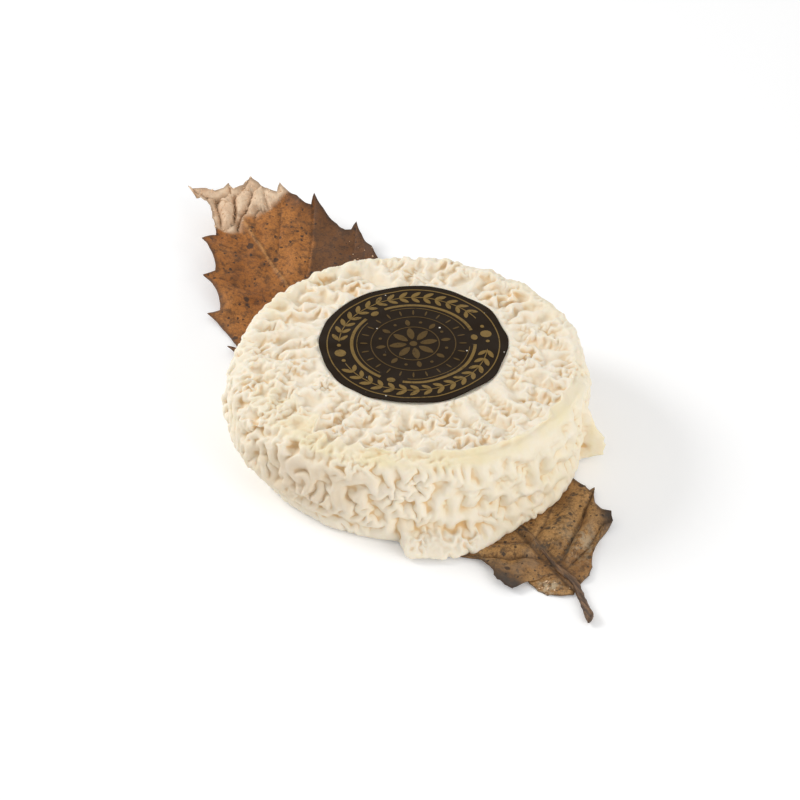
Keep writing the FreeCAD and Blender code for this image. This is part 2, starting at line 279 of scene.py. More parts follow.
# --- Shader helpers ------------------------------------------------------------------------------------
class Tree:
    """Short calls for adding linked nodes to a shader or geometry tree."""

    def __init__(self, tree):
        self.tree = tree

    def link(self, source, target):
        self.tree.links.new(source, target)

    def node(self, kind, inputs=None, **settings):
        node = self.tree.nodes.new(kind)
        for name, value in settings.items():
            setattr(node, name, value)
        for name, value in (inputs or {}).items():
            if isinstance(value, bpy.types.NodeSocket):
                self.link(value, node.inputs[name])
            else:
                node.inputs[name].default_value = value
        return node

    def group(self, group, **inputs):
        return self.node("ShaderNodeGroup", inputs, node_tree=group).outputs

    def math(self, operation, first, second=0.0, third=0.0):
        return self.node("ShaderNodeMath", {0: first, 1: second, 2: third}, operation=operation).outputs[0]

    def times(self, first, second):
        return self.math("MULTIPLY", first, second)

    def linear(self, value, gain, base):
        """The value times a gain, and a base added."""
        return self.math("MULTIPLY_ADD", value, gain, base)

    def ramp(self, value, low, high):
        """0 below the low value, 1 above the high one."""
        node = self.node("ShaderNodeMapRange", {"Value": value, "From Min": low, "From Max": high},
                         interpolation_type="SMOOTHSTEP", clamp=True)
        return node.outputs["Result"]

    def between(self, share, low, high):
        """The low value where the share is 0, the high one where it is 1."""
        node = self.node("ShaderNodeMapRange", {"Value": share, "To Min": low, "To Max": high})
        return node.outputs["Result"]

    def blend(self, share, first, second):
        """Mix of two colours; each may be a socket or a colour."""
        node = self.node("ShaderNodeMix", {0: share}, data_type="RGBA")
        for socket, value in zip(node.inputs[6:8], (first, second)):
            if isinstance(value, bpy.types.NodeSocket):
                self.link(value, socket)
            else:
                socket.default_value = (*value[:3], 1.0)
        return node.outputs[2]

    def coats(self, colour, *coats):
        """Colour with others laid over it in turn, each given as its mask and its colour."""
        for share, over in coats:
            colour = self.blend(share, colour, over)
        return colour

    def noise(self, vector, scale, detail=3.0, roughness=0.55, distortion=0.0):
        node = self.node("ShaderNodeTexNoise", {"Vector": vector, "Scale": scale, "Detail": detail,
                                                "Roughness": roughness, "Distortion": distortion})
        return node.outputs["Fac"]

    def patches(self, vector, scale, detail, roughness, low, high):
        """Soft-edged patches, where the noise is above the low value."""
        return self.ramp(self.noise(vector, scale, detail, roughness), low, high)

    def attribute(self, name):
        return self.node("ShaderNodeAttribute", attribute_name=name).outputs["Fac"]

    def place(self):
        return self.node("ShaderNodeTexCoord").outputs["Object"]

    def bump(self, shader, height, strength, distance):
        node = self.node("ShaderNodeBump", {"Height": height, "Strength": strength, "Distance": distance})
        self.link(node.outputs[0], shader.inputs["Normal"])


def new_material(name):
    material = bpy.data.materials.new(name)
    material.use_nodes = True
    material.node_tree.nodes.clear()
    tree = Tree(material.node_tree)
    shader = tree.node("ShaderNodeBsdfPrincipled")
    output = tree.node("ShaderNodeOutputMaterial")
    tree.link(shader.outputs[0], output.inputs["Surface"])
    return material, tree, shader


def tinted(colour, shares):
    """Colour with each of its channels scaled."""
    return tuple(channel * share for channel, share in zip(colour, shares))


def shader_group(name, inputs, outputs):
    """Empty shader group, with its tree, its inputs and its outputs. All but Vector are single values."""
    group = bpy.data.node_groups.new(name, "ShaderNodeTree")
    for direction, sockets in (("INPUT", inputs), ("OUTPUT", outputs)):
        for socket in sockets:
            kind = "NodeSocketVector" if socket == "Vector" else "NodeSocketFloat"
            group.interface.new_socket(socket, in_out=direction, socket_type=kind)
    tree = Tree(group)
    return group, tree, tree.node("NodeGroupInput").outputs, tree.node("NodeGroupOutput").inputs


def grain_group():
    """Shader group: fine grain as a height, from object coordinates, at a pitch and with a share of pits."""
    name = "fine grain"
    if name in bpy.data.node_groups:
        return bpy.data.node_groups[name]
    group, tree, inlet, outlet = shader_group(name, ("Pitch", "Pits"), ("Height", "Mask"))
    scale = tree.math("DIVIDE", 1.0, inlet["Pitch"])
    place = tree.place()
    cells = tree.node("ShaderNodeTexVoronoi", {"Vector": place, "Scale": scale}, feature="F1")
    sunk = tree.times(tree.ramp(cells.outputs["Distance"], 0.45, 0.1), inlet["Pits"])
    tree.link(tree.math("SUBTRACT", tree.noise(place, scale, 3.0, 0.6), sunk), outlet["Height"])
    tree.link(tree.noise(place, tree.times(scale, 0.12), 4.0, 0.6), outlet["Mask"])
    return group


def dots_group():
    """Shader group: round dots of uneven size, in those cells of a pattern that are rare enough."""
    name = "uneven dots"
    if name in bpy.data.node_groups:
        return bpy.data.node_groups[name]
    inputs = ("Vector", "Scale", "Rare", "Size", "Least", "Soft")
    group, tree, inlet, outlet = shader_group(name, inputs, ("Mask",))
    cells = tree.node("ShaderNodeTexVoronoi", {"Vector": inlet["Vector"], "Scale": inlet["Scale"]},
                      feature="F1").outputs
    parts = tree.node("ShaderNodeSeparateColor", {0: cells["Color"]}).outputs
    chosen = tree.ramp(parts[0], inlet["Rare"], tree.math("ADD", inlet["Rare"], 0.02))
    radius = tree.linear(parts[1], inlet["Size"], inlet["Least"])
    inside = tree.math("SUBTRACT", radius, cells["Distance"])
    tree.link(tree.times(tree.ramp(inside, 0.0, inlet["Soft"]), chosen), outlet["Mask"])
    return group


# --- Rind ----------------------------------------------------------------------------------------------
class Skin:
    """Closed mesh of quads as arrays, in millimetres about the cheese's axis.

    Pairs of neighbours are the edges and the quads' diagonals; the diagonals weigh less, which keeps
    what is worked out on the skin alike in all directions.
    """

    def __init__(self, mesh):
        count = len(mesh.vertices)
        points = np.empty(count * 3)
        mesh.vertices.foreach_get("co", points)
        self.points = points.reshape(-1, 3) / MM - AXIS
        edges = np.empty(len(mesh.edges) * 2, np.int64)
        mesh.edges.foreach_get("vertices", edges)
        self.first, self.second = edges.reshape(-1, 2).T
        totals = np.empty(len(mesh.polygons), np.int64)
        mesh.polygons.foreach_get("loop_total", totals)
        corners = np.empty(totals.sum(), np.int64)
        mesh.polygons.foreach_get("vertices", corners)
        if not (totals == 4).all():
            raise RuntimeError("the rind's mesh should have only quads")
        self.quads = corners.reshape(-1, 4)
        self.first = np.concatenate([self.first, self.quads[:, 0], self.quads[:, 1]])
        self.second = np.concatenate([self.second, self.quads[:, 2], self.quads[:, 3]])
        self.even = np.where(np.arange(len(self.first)) < len(mesh.edges), 1.0, 0.3)
        self.weigh(self.even)

    def weigh(self, weights):
        """Set how strongly the two ends of each edge are tied in averages."""
        self.weights = weights
        self.total = self.gather(np.ones(len(self.points)))

    def gather(self, values):
        count = len(self.points)
        return (np.bincount(self.first, self.weights * values[self.second], count)
                + np.bincount(self.second, self.weights * values[self.first], count))

    def spread(self, values, rate, steps):
        """Let values flow to their neighbours."""
        for _ in range(steps):
            values = values + rate * (self.gather(values) / self.total - values)
        return values

    def spread_points(self, points, rate, steps):
        return np.stack([self.spread(points[:, axis], rate, steps) for axis in range(3)], axis=1)

    def normals(self):
        corner = self.points[self.quads]
        facing = np.cross(corner[:, 2] - corner[:, 0], corner[:, 3] - corner[:, 1])
        total = np.zeros_like(self.points)
        for place in range(4):
            for axis in range(3):
                total[:, axis] += np.bincount(self.quads[:, place], facing[:, axis], len(total))
        return total / np.maximum(np.linalg.norm(total, axis=1), 1e-12)[:, None]


def blank_rind(settings):
    """Even quad mesh over the solid cheese, twice as coarse as the finished one.

    The solid is turned askew for it, so that no row of quads runs along the top or up the wall.
    """
    source = bmesh.new()
    source.from_mesh(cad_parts["cheese"].data)
    bmesh.ops.remove_doubles(source, verts=source.verts, dist=1e-6)
    mesh = bpy.data.meshes.new("blank_rind")
    source.to_mesh(mesh)
    source.free()
    turn = Euler((0.45, 0.32, 0.55)).to_matrix().to_4x4()
    mesh.transform(turn)
    blank = add_object("blank_rind", mesh)
    remesh = blank.modifiers.new("voxels", "REMESH")
    remesh.mode = "VOXEL"
    remesh.voxel_size = 2.0 * settings.mesh_size
    even = evaluated_mesh(blank)
    even.transform(turn.inverted())
    bpy.data.objects.remove(blank)
    return even


def halve_quads(skin):
    """Finer skin with each quad cut in four."""
    mesh = mesh_from_arrays("coarse_rind", skin.points + AXIS, skin.quads.tolist())
    coarse = add_object(mesh.name, mesh)
    divide = coarse.modifiers.new("finer", "SUBSURF")
    divide.levels = 1
    divide.render_levels = 1
    fine = evaluated_mesh(coarse)
    bpy.data.objects.remove(coarse)
    return Skin(fine)


class RindPlaces:
    """Where each point of the rind lies, as shares from 0 to 1.

    Covered is what the label hides. The band is the smooth lip below the rim at the front right, the
    brow the bare strip below the rim in front, and the hem the rim's own edge. The wall at the front left
    is where shade is painted into the rind's colour, with a little bare rind's colour; the foot is curd that
    ran out in front, and the flap a fold that stands out.
    """

    def __init__(self, skin):
        points = skin.points
        normals = skin.normals()
        self.angle = np.degrees(np.arctan2(points[:, 1], points[:, 0]))
        self.radius = np.hypot(points[:, 0], points[:, 1])
        self.height = points[:, 2]
        self.top = smooth((skin.spread(normals[:, 2], 0.6, 12) - 0.3) / 0.5)
        self.under = smooth((-normals[:, 2] - 0.5) / 0.4) * smooth((4.0 - self.height) / 2.0)
        self.wall = (1.0 - self.top) * (1.0 - self.under)
        crest_radius, crest_height = self.crest()
        self.below_crest = crest_height - self.height
        from_label = np.hypot(points[:, 0] - LABEL_FROM_AXIS[0], points[:, 1] - LABEL_FROM_AXIS[1])
        self.beyond_label = from_label - LABEL_RADIUS
        self.covered = self.top * smooth(1.0 - self.beyond_label / 2.5)
        self.front_right = near_angle(self.angle, -38.0, 44.0)
        self.left = near_angle(self.angle, 200.0, 32.0)
        self.back = self.top * smooth((points[:, 1] - 8.0) / 22.0)
        # Wall at the front left: shade is painted into the rind's colour here, and a little bare rind's
        # colour is added.
        front_left_shade_and_bare = near_angle(self.angle, -128.0, 27.0) * smooth((self.height - 2.0) / 10.0)
        self.front_left_shade_and_bare = front_left_shade_and_bare * smooth((29.0 - self.height) / 7.0) * self.wall
        self.foot = near_angle(self.angle, -62.0, 15.0) * smooth((6.5 - self.height) / 2.5) * self.wall
        flap_side = near_angle(self.angle, -12.0, 5.0)
        self.flap = flap_side * smooth((self.radius - 53.4) / 1.6) * smooth((21.0 - self.height) / 2.0)
        on_face = smooth((self.radius - crest_radius + 1.4) / 1.4)
        band = bell(self.below_crest - 0.7, 1.5) * on_face
        self.band = band * near_angle(self.angle, -48.0, 46.0)
        self.brow = band * near_angle(self.angle, -110.0, 60.0)
        hem = bell(self.radius - crest_radius + 0.5, 0.8) * smooth(3.5 - self.below_crest)
        self.hem = hem * near_angle(self.angle, -95.0, 85.0)

    def crest(self):
        """Radius and height of the rim's crest at each point's compass angle."""
        bins = 90
        index = ((self.angle + 180.0) / 360.0 * bins).astype(int) % bins
        crest_radius = np.zeros(bins)
        crest_height = np.zeros(bins)
        outside = self.radius > 36.0
        for number in range(bins):
            inside = np.flatnonzero((index == number) & outside)
            high = inside[np.argsort(self.height[inside])[-6:]]
            crest_radius[number] = self.radius[high].mean()
            crest_height[number] = self.height[high].mean()
        centres = (np.arange(bins) + 0.5) / bins * 360.0 - 180.0
        return tuple(np.interp(self.angle, centres, values, period=360.0)
                     for values in (crest_radius, crest_height))


def ridge_direction(skin, places, seed):
    """Direction that the ridges run in, and how strongly they keep to it."""
    turn = np.radians(places.angle)
    zero = np.zeros_like(turn)
    upright = np.stack([zero, zero, zero + 1.0], axis=1)
    round_about = np.stack([-np.sin(turn), np.cos(turn), zero], axis=1)
    outward = heading(turn - 0.35)
    sideways = np.stack([zero + 1.0, zero + 0.12, zero], axis=1)
    low = smooth((9.0 - places.height) / 5.0)
    at_right = smooth((skin.points[:, 0] - 4.0) / 26.0)
    on_wall = mix(upright, round_about, low[:, None])
    on_top = mix(sideways, outward, at_right[:, None])
    direction = mix(on_wall, on_top, places.top[:, None])
    sway = wave_noise(skin.points, 14.0, seed) + 0.6 * wave_noise(skin.points, 7.0, seed + 40)
    direction = direction + 0.6 * sway[:, None] * np.cross(skin.normals(), direction)
    direction /= np.maximum(np.linalg.norm(direction, axis=1), 1e-6)[:, None]
    wall_strength = 0.08 + 0.80 * places.left + 0.25 * low + 0.4 * places.foot
    at_left = smooth((4.0 - skin.points[:, 0]) / 20.0)
    top_strength = 0.06 + smooth((places.beyond_label - 2.0) / 9.0) * (0.16 * at_right + 0.36 * at_left)
    return direction, np.clip(mix(wall_strength, top_strength, places.top), 0.0, 0.9)


def along_ridges(skin, direction, strength):
    """For each pair of points: 1 when it lies along the ridges, -1 across them, times the strength."""
    first, second = skin.first, skin.second
    edge = skin.points[second] - skin.points[first]
    edge /= np.maximum(np.linalg.norm(edge, axis=1), 1e-9)[:, None]
    mean = direction[first] + direction[second]
    mean /= np.maximum(np.linalg.norm(mean, axis=1), 1e-6)[:, None]
    along = np.sum(edge * mean, axis=1) ** 2
    return 0.5 * (strength[first] + strength[second]) * (2.0 * along - 1.0)


def seed_wrinkles(skin, pitch, mesh_pitch, sharpness, seed, rounds):
    """Evenly spaced ridges, from -1 to 1, grown out of noise."""
    random = np.random.default_rng(seed)
    values = random.uniform(-1.0, 1.0, len(skin.points))
    steps = max(int(round(0.105 * (pitch.max() / mesh_pitch) ** 2)), 2)
    rate = 0.62 * (pitch / pitch.max()) ** 2
    for _ in range(rounds):
        near = skin.spread(values, rate, steps)
        far = skin.spread(near, rate, 3 * steps)
        values = np.tanh(sharpness * (near - far))
    return skin.spread(values, rate, max(steps // 3, 1))


def buckle(skin, growth, direction, strength, stiff, hold, start, rounds, flat=1.0):
    """Grow the skin sideways over the soft curd that holds it, until it buckles into folds.

    Where flat is 1 the folds come out as broad ridges parted by narrow creases, where it is -1 as
    narrow crests parted by broad hollows.
    """
    count = len(skin.points)
    first, second = skin.first, skin.second
    lean = along_ridges(skin, direction, strength)
    spring = 0.17 * np.where(skin.even == 1.0, 1.0, 0.5)
    rest_points = skin.points.copy()
    rest_length = np.linalg.norm(rest_points[second] - rest_points[first], axis=1)
    longer = rest_length * (1.0 + 0.5 * (growth[first] + growth[second]) * (1.0 - lean))
    outward = skin.normals()
    speed = np.zeros_like(rest_points)
    skin.points = rest_points + outward * start[:, None]
    for _ in range(rounds):
        edge = skin.points[second] - skin.points[first]
        now = np.maximum(np.linalg.norm(edge, axis=1), 1e-6)
        pull = edge * (spring * (1.0 - longer / now))[:, None]
        shift = skin.points - rest_points
        curve = skin.spread_points(shift, 1.0, 1) - shift
        flow = skin.spread_points(curve, 1.0, 1) - curve
        lift = np.sum(shift * outward, axis=1)
        held = hold * lift * (1.0 + 3.0 * np.maximum(flat * lift, 0.0))
        force = -stiff[:, None] * flow - held[:, None] * outward
        force -= 0.5 * hold * (shift - lift[:, None] * outward)
        for axis in range(3):
            force[:, axis] += np.bincount(first, pull[:, axis], count)
            force[:, axis] -= np.bincount(second, pull[:, axis], count)
        speed = 0.85 * speed + force
        skin.points = skin.points + speed


def bare_share(places):
    """Share of the growth left where the rind is smooth: the lip, the flap and what lies hidden."""
    share = (1.0 - 0.75 * places.band) * (1.0 - places.flap) * (1.0 - 0.8 * places.covered)
    return share * (1.0 - 0.8 * places.under)


def uneven(skin, base, wavelength, amount, seed, low=0.6, high=1.5):
    """Value that varies over the skin."""
    return base * np.clip(1.0 + amount * wave_noise(skin.points, wavelength, seed), low, high)


def swell_rind(skin, settings, places):
    """Broad, low swellings under the ridges."""
    pitch = uneven(skin, settings.swell_pitch / MM * np.ones(len(skin.points)), 24.0, 0.2, settings.seed + 1)
    direction, strength = ridge_direction(skin, places, settings.seed + 2)
    start = seed_wrinkles(skin, pitch, 2.0 * settings.mesh_size / MM, sharpness=5.0, seed=settings.seed,
                          rounds=4)
    bare = bare_share(places)
    buckle(skin, settings.swell_growth * bare, direction, 0.5 * strength, stiff=np.full(len(start), 0.42),
           hold=0.006, start=0.25 * start * bare, rounds=90)


def fold_rind(skin, settings, places):
    """Ridges: a maze with narrow creases on the wall, upright on the left, and thin crests on the top."""
    near_label = places.top * smooth(1.0 - (places.beyond_label - 3.0) / 12.0)
    pitch = settings.ridge_pitch / MM * (1.0 - 0.22 * places.left * places.wall - 0.16 * near_label
                                         + 0.10 * places.top * smooth(places.beyond_label / 12.0)
                                         + 0.40 * places.back)
    pitch = uneven(skin, pitch, 13.0, 0.34, settings.seed + 3, 0.58, 1.5)
    direction, strength = ridge_direction(skin, places, settings.seed + 2)
    skin.weigh(skin.even * (1.0 + along_ridges(skin, direction, strength)))
    start = seed_wrinkles(skin, pitch, settings.mesh_size / MM, sharpness=4.0, seed=settings.seed + 4,
                          rounds=2)
    skin.weigh(skin.even)
    wall = 1.0 - 0.52 * places.front_right * smooth((places.height - 2.0) / 8.0)
    bare = bare_share(places)
    growth = settings.ridge_growth * mix(wall, 0.58 + 0.34 * places.back, places.top) * bare
    growth *= 1.0 - 0.25 * places.foot
    growth = uneven(skin, growth, 10.0, 0.6, settings.seed + 5, 0.12, 1.8)
    stiff = np.clip(0.34 * (pitch / pitch.mean()) ** 2, 0.12, 0.48)
    buckle(skin, growth, direction, strength, stiff, hold=0.005, start=0.22 * start * bare, rounds=90,
           flat=mix(1.0, -1.0, places.top))


def plump_rind(skin, settings, places):
    """Swell the ridges until the creases between them are pinched, and draw the whole skin back again."""
    outward = skin.spread_points(skin.normals(), 0.6, 40)
    outward /= np.linalg.norm(outward, axis=1)[:, None]
    depth = settings.plumpness / MM * bare_share(places) * mix(1.0, -0.45, places.top)
    steps = 6
    for _ in range(steps):
        skin.points = skin.points + skin.normals() * (depth / steps)[:, None]
        skin.points = skin.spread_points(skin.points, 0.10, 1)
    skin.points = skin.points - outward * (0.9 * depth)[:, None]


def raise_hem(skin, settings, places):
    """Ruffled lip where the wall's rind meets the top's."""
    ruffle = 0.75 + 0.45 * wave_noise(skin.points, 6.0, settings.seed + 12)
    sway = 0.45 * wave_noise(skin.points, 9.0, settings.seed + 13)
    outward = heading(np.radians(places.angle))
    upward = np.array((0.0, 0.0, 1.0))
    lift = 0.85 * places.hem * np.clip(ruffle, 0.0, 1.6)
    skin.points = skin.points + lift[:, None] * upward + (places.hem * sway)[:, None] * outward


def crinkle_rind(skin, settings, places):
    """Fine crinkles on the ridges, strongest on the left wall and round the label, and a fine grain."""
    pitch = settings.crinkle_pitch / MM * np.ones(len(skin.points))
    pitch = uneven(skin, pitch, 9.0, 0.2, settings.seed + 6)
    direction, strength = ridge_direction(skin, places, settings.seed + 7)
    start = seed_wrinkles(skin, pitch, settings.mesh_size / MM, sharpness=3.0, seed=settings.seed + 8,
                          rounds=4)
    strong = 0.8 + 0.3 * places.left * places.wall + 0.45 * places.top - 0.25 * places.back
    strong = uneven(skin, strong * bare_share(places), 8.0, 0.5, settings.seed + 9, 0.1, 2.0)
    stiff = np.clip(0.14 * (pitch / pitch.mean()) ** 2, 0.08, 0.4)
    buckle(skin, settings.crinkle_growth * strong, direction, 0.4 * strength, stiff, hold=0.012,
           start=0.10 * start * strong, rounds=30, flat=mix(1.0, -1.0, places.top))
    grain = skin.spread(np.random.default_rng(settings.seed + 10).normal(size=len(start)), 0.6, 2)
    lift = 0.08 * grain * (1.0 - 0.5 * places.band)
    skin.points = skin.points + skin.normals() * lift[:, None]


def soften_rind(skin, places):
    """Round off the sharpest crests and creases, most of all on the wall."""
    skin.points = skin.spread_points(skin.points, mix(0.42, 0.12, places.top), 2)


def settle_rind(skin):
    """Keep the rind on the floor and on the blade, and under the label."""
    across = skin.points[:, :2] @ LEAF_ACROSS - LEAF_ASIDE
    on_leaf = 1.0 - smooth((np.abs(across) - BLADE_HALF_WIDTH + 1.0) / 2.0)
    low = mix(0.0, LEAF_TOP, on_leaf)
    skin.points[:, 2] = np.maximum(skin.points[:, 2], low)
    from_label = np.hypot(skin.points[:, 0] - LABEL_FROM_AXIS[0], skin.points[:, 1] - LABEL_FROM_AXIS[1])
    ceiling = TOP_HEIGHT - 0.03 + 0.9 * np.maximum(from_label - LABEL_RADIUS - 0.3, 0.0)
    on_top = skin.points[:, 2] > 20.0
    pressed = np.minimum(skin.points[:, 2], ceiling)
    skin.points[:, 2] = np.where(on_top & (from_label < LABEL_RADIUS + 4.0), pressed, skin.points[:, 2])


def hollow(skin, normals, steps, full):
    """How far a point lies below the skin averaged around it, as a share of a full depth."""
    mean = skin.spread_points(skin.points, 0.5, steps)
    return np.sum((mean - skin.points) * normals, axis=1) / full


def thin_out(obj, share_kept, group=""):
    """Take points away where the group is 1, or, without a group, wherever the mesh is flattest."""
    fewer = obj.modifiers.new("fewer", "DECIMATE")
    fewer.ratio = share_kept
    fewer.vertex_group = group
    mesh = evaluated_mesh(obj)
    name = obj.name
    bpy.data.objects.remove(obj)
    mesh.name = name
    return add_object(name, mesh)


def mark_rind(mesh, skin, places):
    """Attributes that the rind's colours follow."""
    normals = skin.normals()
    # Depths of the hollows and creases, which lay painted shade, with some of the rind's own warmer colour,
    # into the rind; less of it on the top, the left and the front right.
    paler = mix(1.0 - 0.25 * places.left - 0.38 * places.front_right, 0.48, places.top)
    # Painted shade through the hollows' colour: strongest on the wall at the front left, less on the rest of
    # the wall away from the left.
    darker = 0.4 * places.front_left_shade_and_bare + 0.16 * places.wall * (1.0 - places.left)
    set_attribute(mesh, "hollow", hollow(skin, normals, steps=45, full=0.45) * paler + darker)
    set_attribute(mesh, "crease", hollow(skin, normals, steps=9, full=0.16) * paler)
    # Painted shade on the wall at the front left, in its own tan colour.
    set_attribute(mesh, "tan", 0.62 * places.front_left_shade_and_bare)
    butter = 0.9 * places.band + 0.95 * places.flap + 0.5 * places.front_right * places.wall
    butter += 0.45 * places.back * smooth((places.beyond_label - 9.0) / 8.0)
    butter += places.brow + 0.35 * places.front_left_shade_and_bare + 0.2 * places.left * places.wall
    set_attribute(mesh, "butter", np.clip(butter, 0.0, 1.0))


def thin_rind(rind, skin, places, most_triangles):
    """Take away most points underneath and under the label, and then others where the rind is flattest."""
    near_floor = 1.2
    share_taken = 0.85
    unseen = (skin.points[:, 2] < near_floor) | (places.top * (places.beyond_label < -2.0) > 0.5)
    hidden = rind.vertex_groups.new(name="hidden")
    hidden.add(np.flatnonzero(unseen).tolist(), 1.0, "REPLACE")
    rind = thin_out(rind, 1.0 - share_taken * unseen.mean(), hidden.name)
    rind.vertex_groups.clear()
    triangles = sum(len(face.vertices) - 2 for face in rind.data.polygons)
    rind = thin_out(rind, min(most_triangles / triangles, 1.0))
    rind.data.shade_smooth()
    return rind


def rind_material(settings):
    """Layers of colour from the crests down into the creases, partly painted shade there, with a fine grain.
    """
    material, tree, shader = new_material("rind")
    grain = tree.group(grain_group(), Pitch=0.00045, Pits=0.35)
    place = tree.place()
    # Painted shade, with some of the rind's own warmer tone: valley colour where the skin lies below its
    # surroundings, tan deep in the narrow creases.
    valley = tree.times(tree.ramp(tree.attribute("hollow"), -0.30, 1.0), 0.80)
    crease = tree.times(tree.ramp(tree.attribute("crease"), 0.24, 1.35), 0.90)
    butter = tree.times(tree.attribute("butter"), tree.patches(place, 70.0, 4.0, 0.6, 0.2, 0.62))
    bare = tree.times(tree.patches(place, 210.0, 3.0, 0.6, 0.55, 0.75), 0.35)
    bloom = tree.times(tree.ramp(grain["Mask"], 0.5, 0.7), 0.25)
    colour = tree.coats(settings.ridge_colour, (valley, settings.valley_tone_and_shade_colour),
                        (butter, settings.butter_colour), (bare, settings.butter_colour),
                        (crease, settings.crease_curd_and_shade_colour),
                        (tree.attribute("tan"), settings.front_left_shade_colour), (bloom, (0.93, 0.88, 0.78)))
    tree.link(colour, shader.inputs["Base Color"])
    tree.link(tree.between(grain["Height"], 0.5, 0.72), shader.inputs["Roughness"])
    shader.inputs["Subsurface Weight"].default_value = 0.5
    shader.inputs["Subsurface Radius"].default_value = (1.0, 0.85, 0.68)
    shader.inputs["Subsurface Scale"].default_value = 0.0011
    shader.inputs["Specular IOR Level"].default_value = 0.35
    tree.bump(shader, grain["Height"], 0.6, 0.00016)
    return material


class CHEESE_OT_make_rind(bpy.types.Operator):
    """Make the cheese's wrinkled rind over its solid"""
    bl_idname = "cheese.make_rind"
    bl_label = "Make Rind"

    def execute(self, context):
        settings = context.scene.cheese_rind
        evening_rounds = 6
        skin = Skin(blank_rind(settings))
        skin.points = skin.spread_points(skin.points, 0.5, evening_rounds)
        swell_rind(skin, settings, RindPlaces(skin))
        skin = halve_quads(skin)
        places = RindPlaces(skin)
        fold_rind(skin, settings, places)
        plump_rind(skin, settings, places)
        raise_hem(skin, settings, places)
        crinkle_rind(skin, settings, places)
        soften_rind(skin, places)
        settle_rind(skin)
        mesh = mesh_from_arrays("cheese_rind", skin.points + AXIS, skin.quads.tolist())
        mark_rind(mesh, skin, places)
        rind = thin_rind(add_object("cheese_rind", mesh), skin, places, settings.triangles)
        finish_piece(rind, "rind", rind_material(settings), "cheese")
        return {"FINISHED"}


# --- Label ---------------------------------------------------------------------------------------------
def label_height(points, settings):
    """Height of the paper's upper face: it lies on the highest ridges and sags a little between them."""
    flat = points * (1.0, 1.0, 0.0)
    wave = wave_noise(flat, 21.0, 31) + 0.4 * wave_noise(flat, 8.0, 32)
    from_middle = np.hypot(points[:, 0] - LABEL_MIDDLE[0], points[:, 1] - LABEL_MIDDLE[1]) / LABEL_RADIUS
    lift = settings.wave / MM * smooth(0.5 + 0.3 * wave) * (0.35 + 0.65 * from_middle ** 2)
    return TOP_HEIGHT + 0.24 + lift


def polar_grid(radii, sectors, centre):
    """Points and faces of a round sheet."""
    turns = np.arange(sectors) * 2.0 * math.pi / sectors
    points = [centre]
    for radius in radii:
        for turn in turns:
            points.append(centre + radius * np.array((math.cos(turn), math.sin(turn), 0.0)))
    faces = [(0, 1 + number, 1 + (number + 1) % sectors) for number in range(sectors)]
    return np.array(points), faces + ring_faces(len(radii), sectors, 1)


def thicken(mesh, thickness, name):
    """Closed sheet: the mesh's faces are its upper side."""
    sheet = add_object(name, mesh)
    solidify = sheet.modifiers.new("thickness", "SOLIDIFY")
    solidify.thickness = thickness
    solidify.offset = -1.0
    closed = evaluated_mesh(sheet)
    bpy.data.objects.remove(sheet)
    closed.name = name
    return add_object(name, closed)


def label_material(settings):
    material, tree, shader = new_material("label_paper")
    grain = tree.group(grain_group(), Pitch=0.0006, Pits=0.1)
    place = tree.place()
    scuffs = tree.times(tree.ramp(tree.noise(place, 130.0, 6.0, 0.7, 1.2), 0.60, 0.78), 0.10)
    dust = tree.group(dots_group(), Vector=place, Scale=380.0, Rare=0.72, Size=0.10, Least=0.03, Soft=0.03)
    colour = tree.coats(settings.paper_colour, (scuffs, (0.28, 0.22, 0.17)), (dust["Mask"], (0.85, 0.8, 0.7)))
    tree.link(colour, shader.inputs["Base Color"])
    tree.link(tree.between(grain["Mask"], 0.34, 0.55), shader.inputs["Roughness"])
    shader.inputs["Specular IOR Level"].default_value = 0.08
    shader.inputs["Specular Tint"].default_value = (1.0, 0.72, 0.48, 1.0)
    tree.bump(shader, grain["Mask"], 0.25, 0.0003)
    return material


class Print:
    """Flat printed shapes about the label's middle. Turns are in degrees, radii are shares of the label's."""

    def __init__(self):
        self.points = []
        self.faces = []

    def add(self, outline, faces):
        start = len(self.points)
        self.points += outline
        self.faces += [tuple(start + corner for corner in face) for face in faces]

    def arc(self, radius, width, start_turn, end_turn):
        """Band of even width along an arc."""
        count = max(int(abs(end_turn - start_turn) / 2.0), 4)
        outline = []
        for turn in np.radians(np.linspace(start_turn, end_turn, count + 1)):
            for reach in (radius * LABEL_RADIUS - 0.5 * width, radius * LABEL_RADIUS + 0.5 * width):
                outline.append((reach * math.cos(turn), reach * math.sin(turn)))
        closed = abs(end_turn - start_turn) >= 360.0
        outline = outline[:-2] if closed else outline
        total = len(outline)
        faces = [(2 * step, 2 * step + 1, (2 * step + 3) % total, (2 * step + 2) % total)
                 for step in range(total // 2 - (0 if closed else 1))]
        self.add(outline, faces)

    def shape(self, radius, turn, length, width, lean, roundness):
        """Pointed or rounded shape at a place on a circle, leaning from the circle's tangent."""
        place = np.radians(turn)
        heading = place + math.radians(90.0 + lean)
        middle_x = radius * LABEL_RADIUS * math.cos(place)
        middle_y = radius * LABEL_RADIUS * math.sin(place)
        count = 12
        outline = []
        for step in range(count):
            corner = 2.0 * math.pi * step / count
            along = 0.5 * length * math.cos(corner)
            across = 0.5 * width * math.copysign(abs(math.sin(corner)) ** roundness, math.sin(corner))
            outline.append((middle_x + along * math.cos(heading) - across * math.sin(heading),
                            middle_y + along * math.sin(heading) + across * math.cos(heading)))
        self.add(outline, [tuple(range(count))])


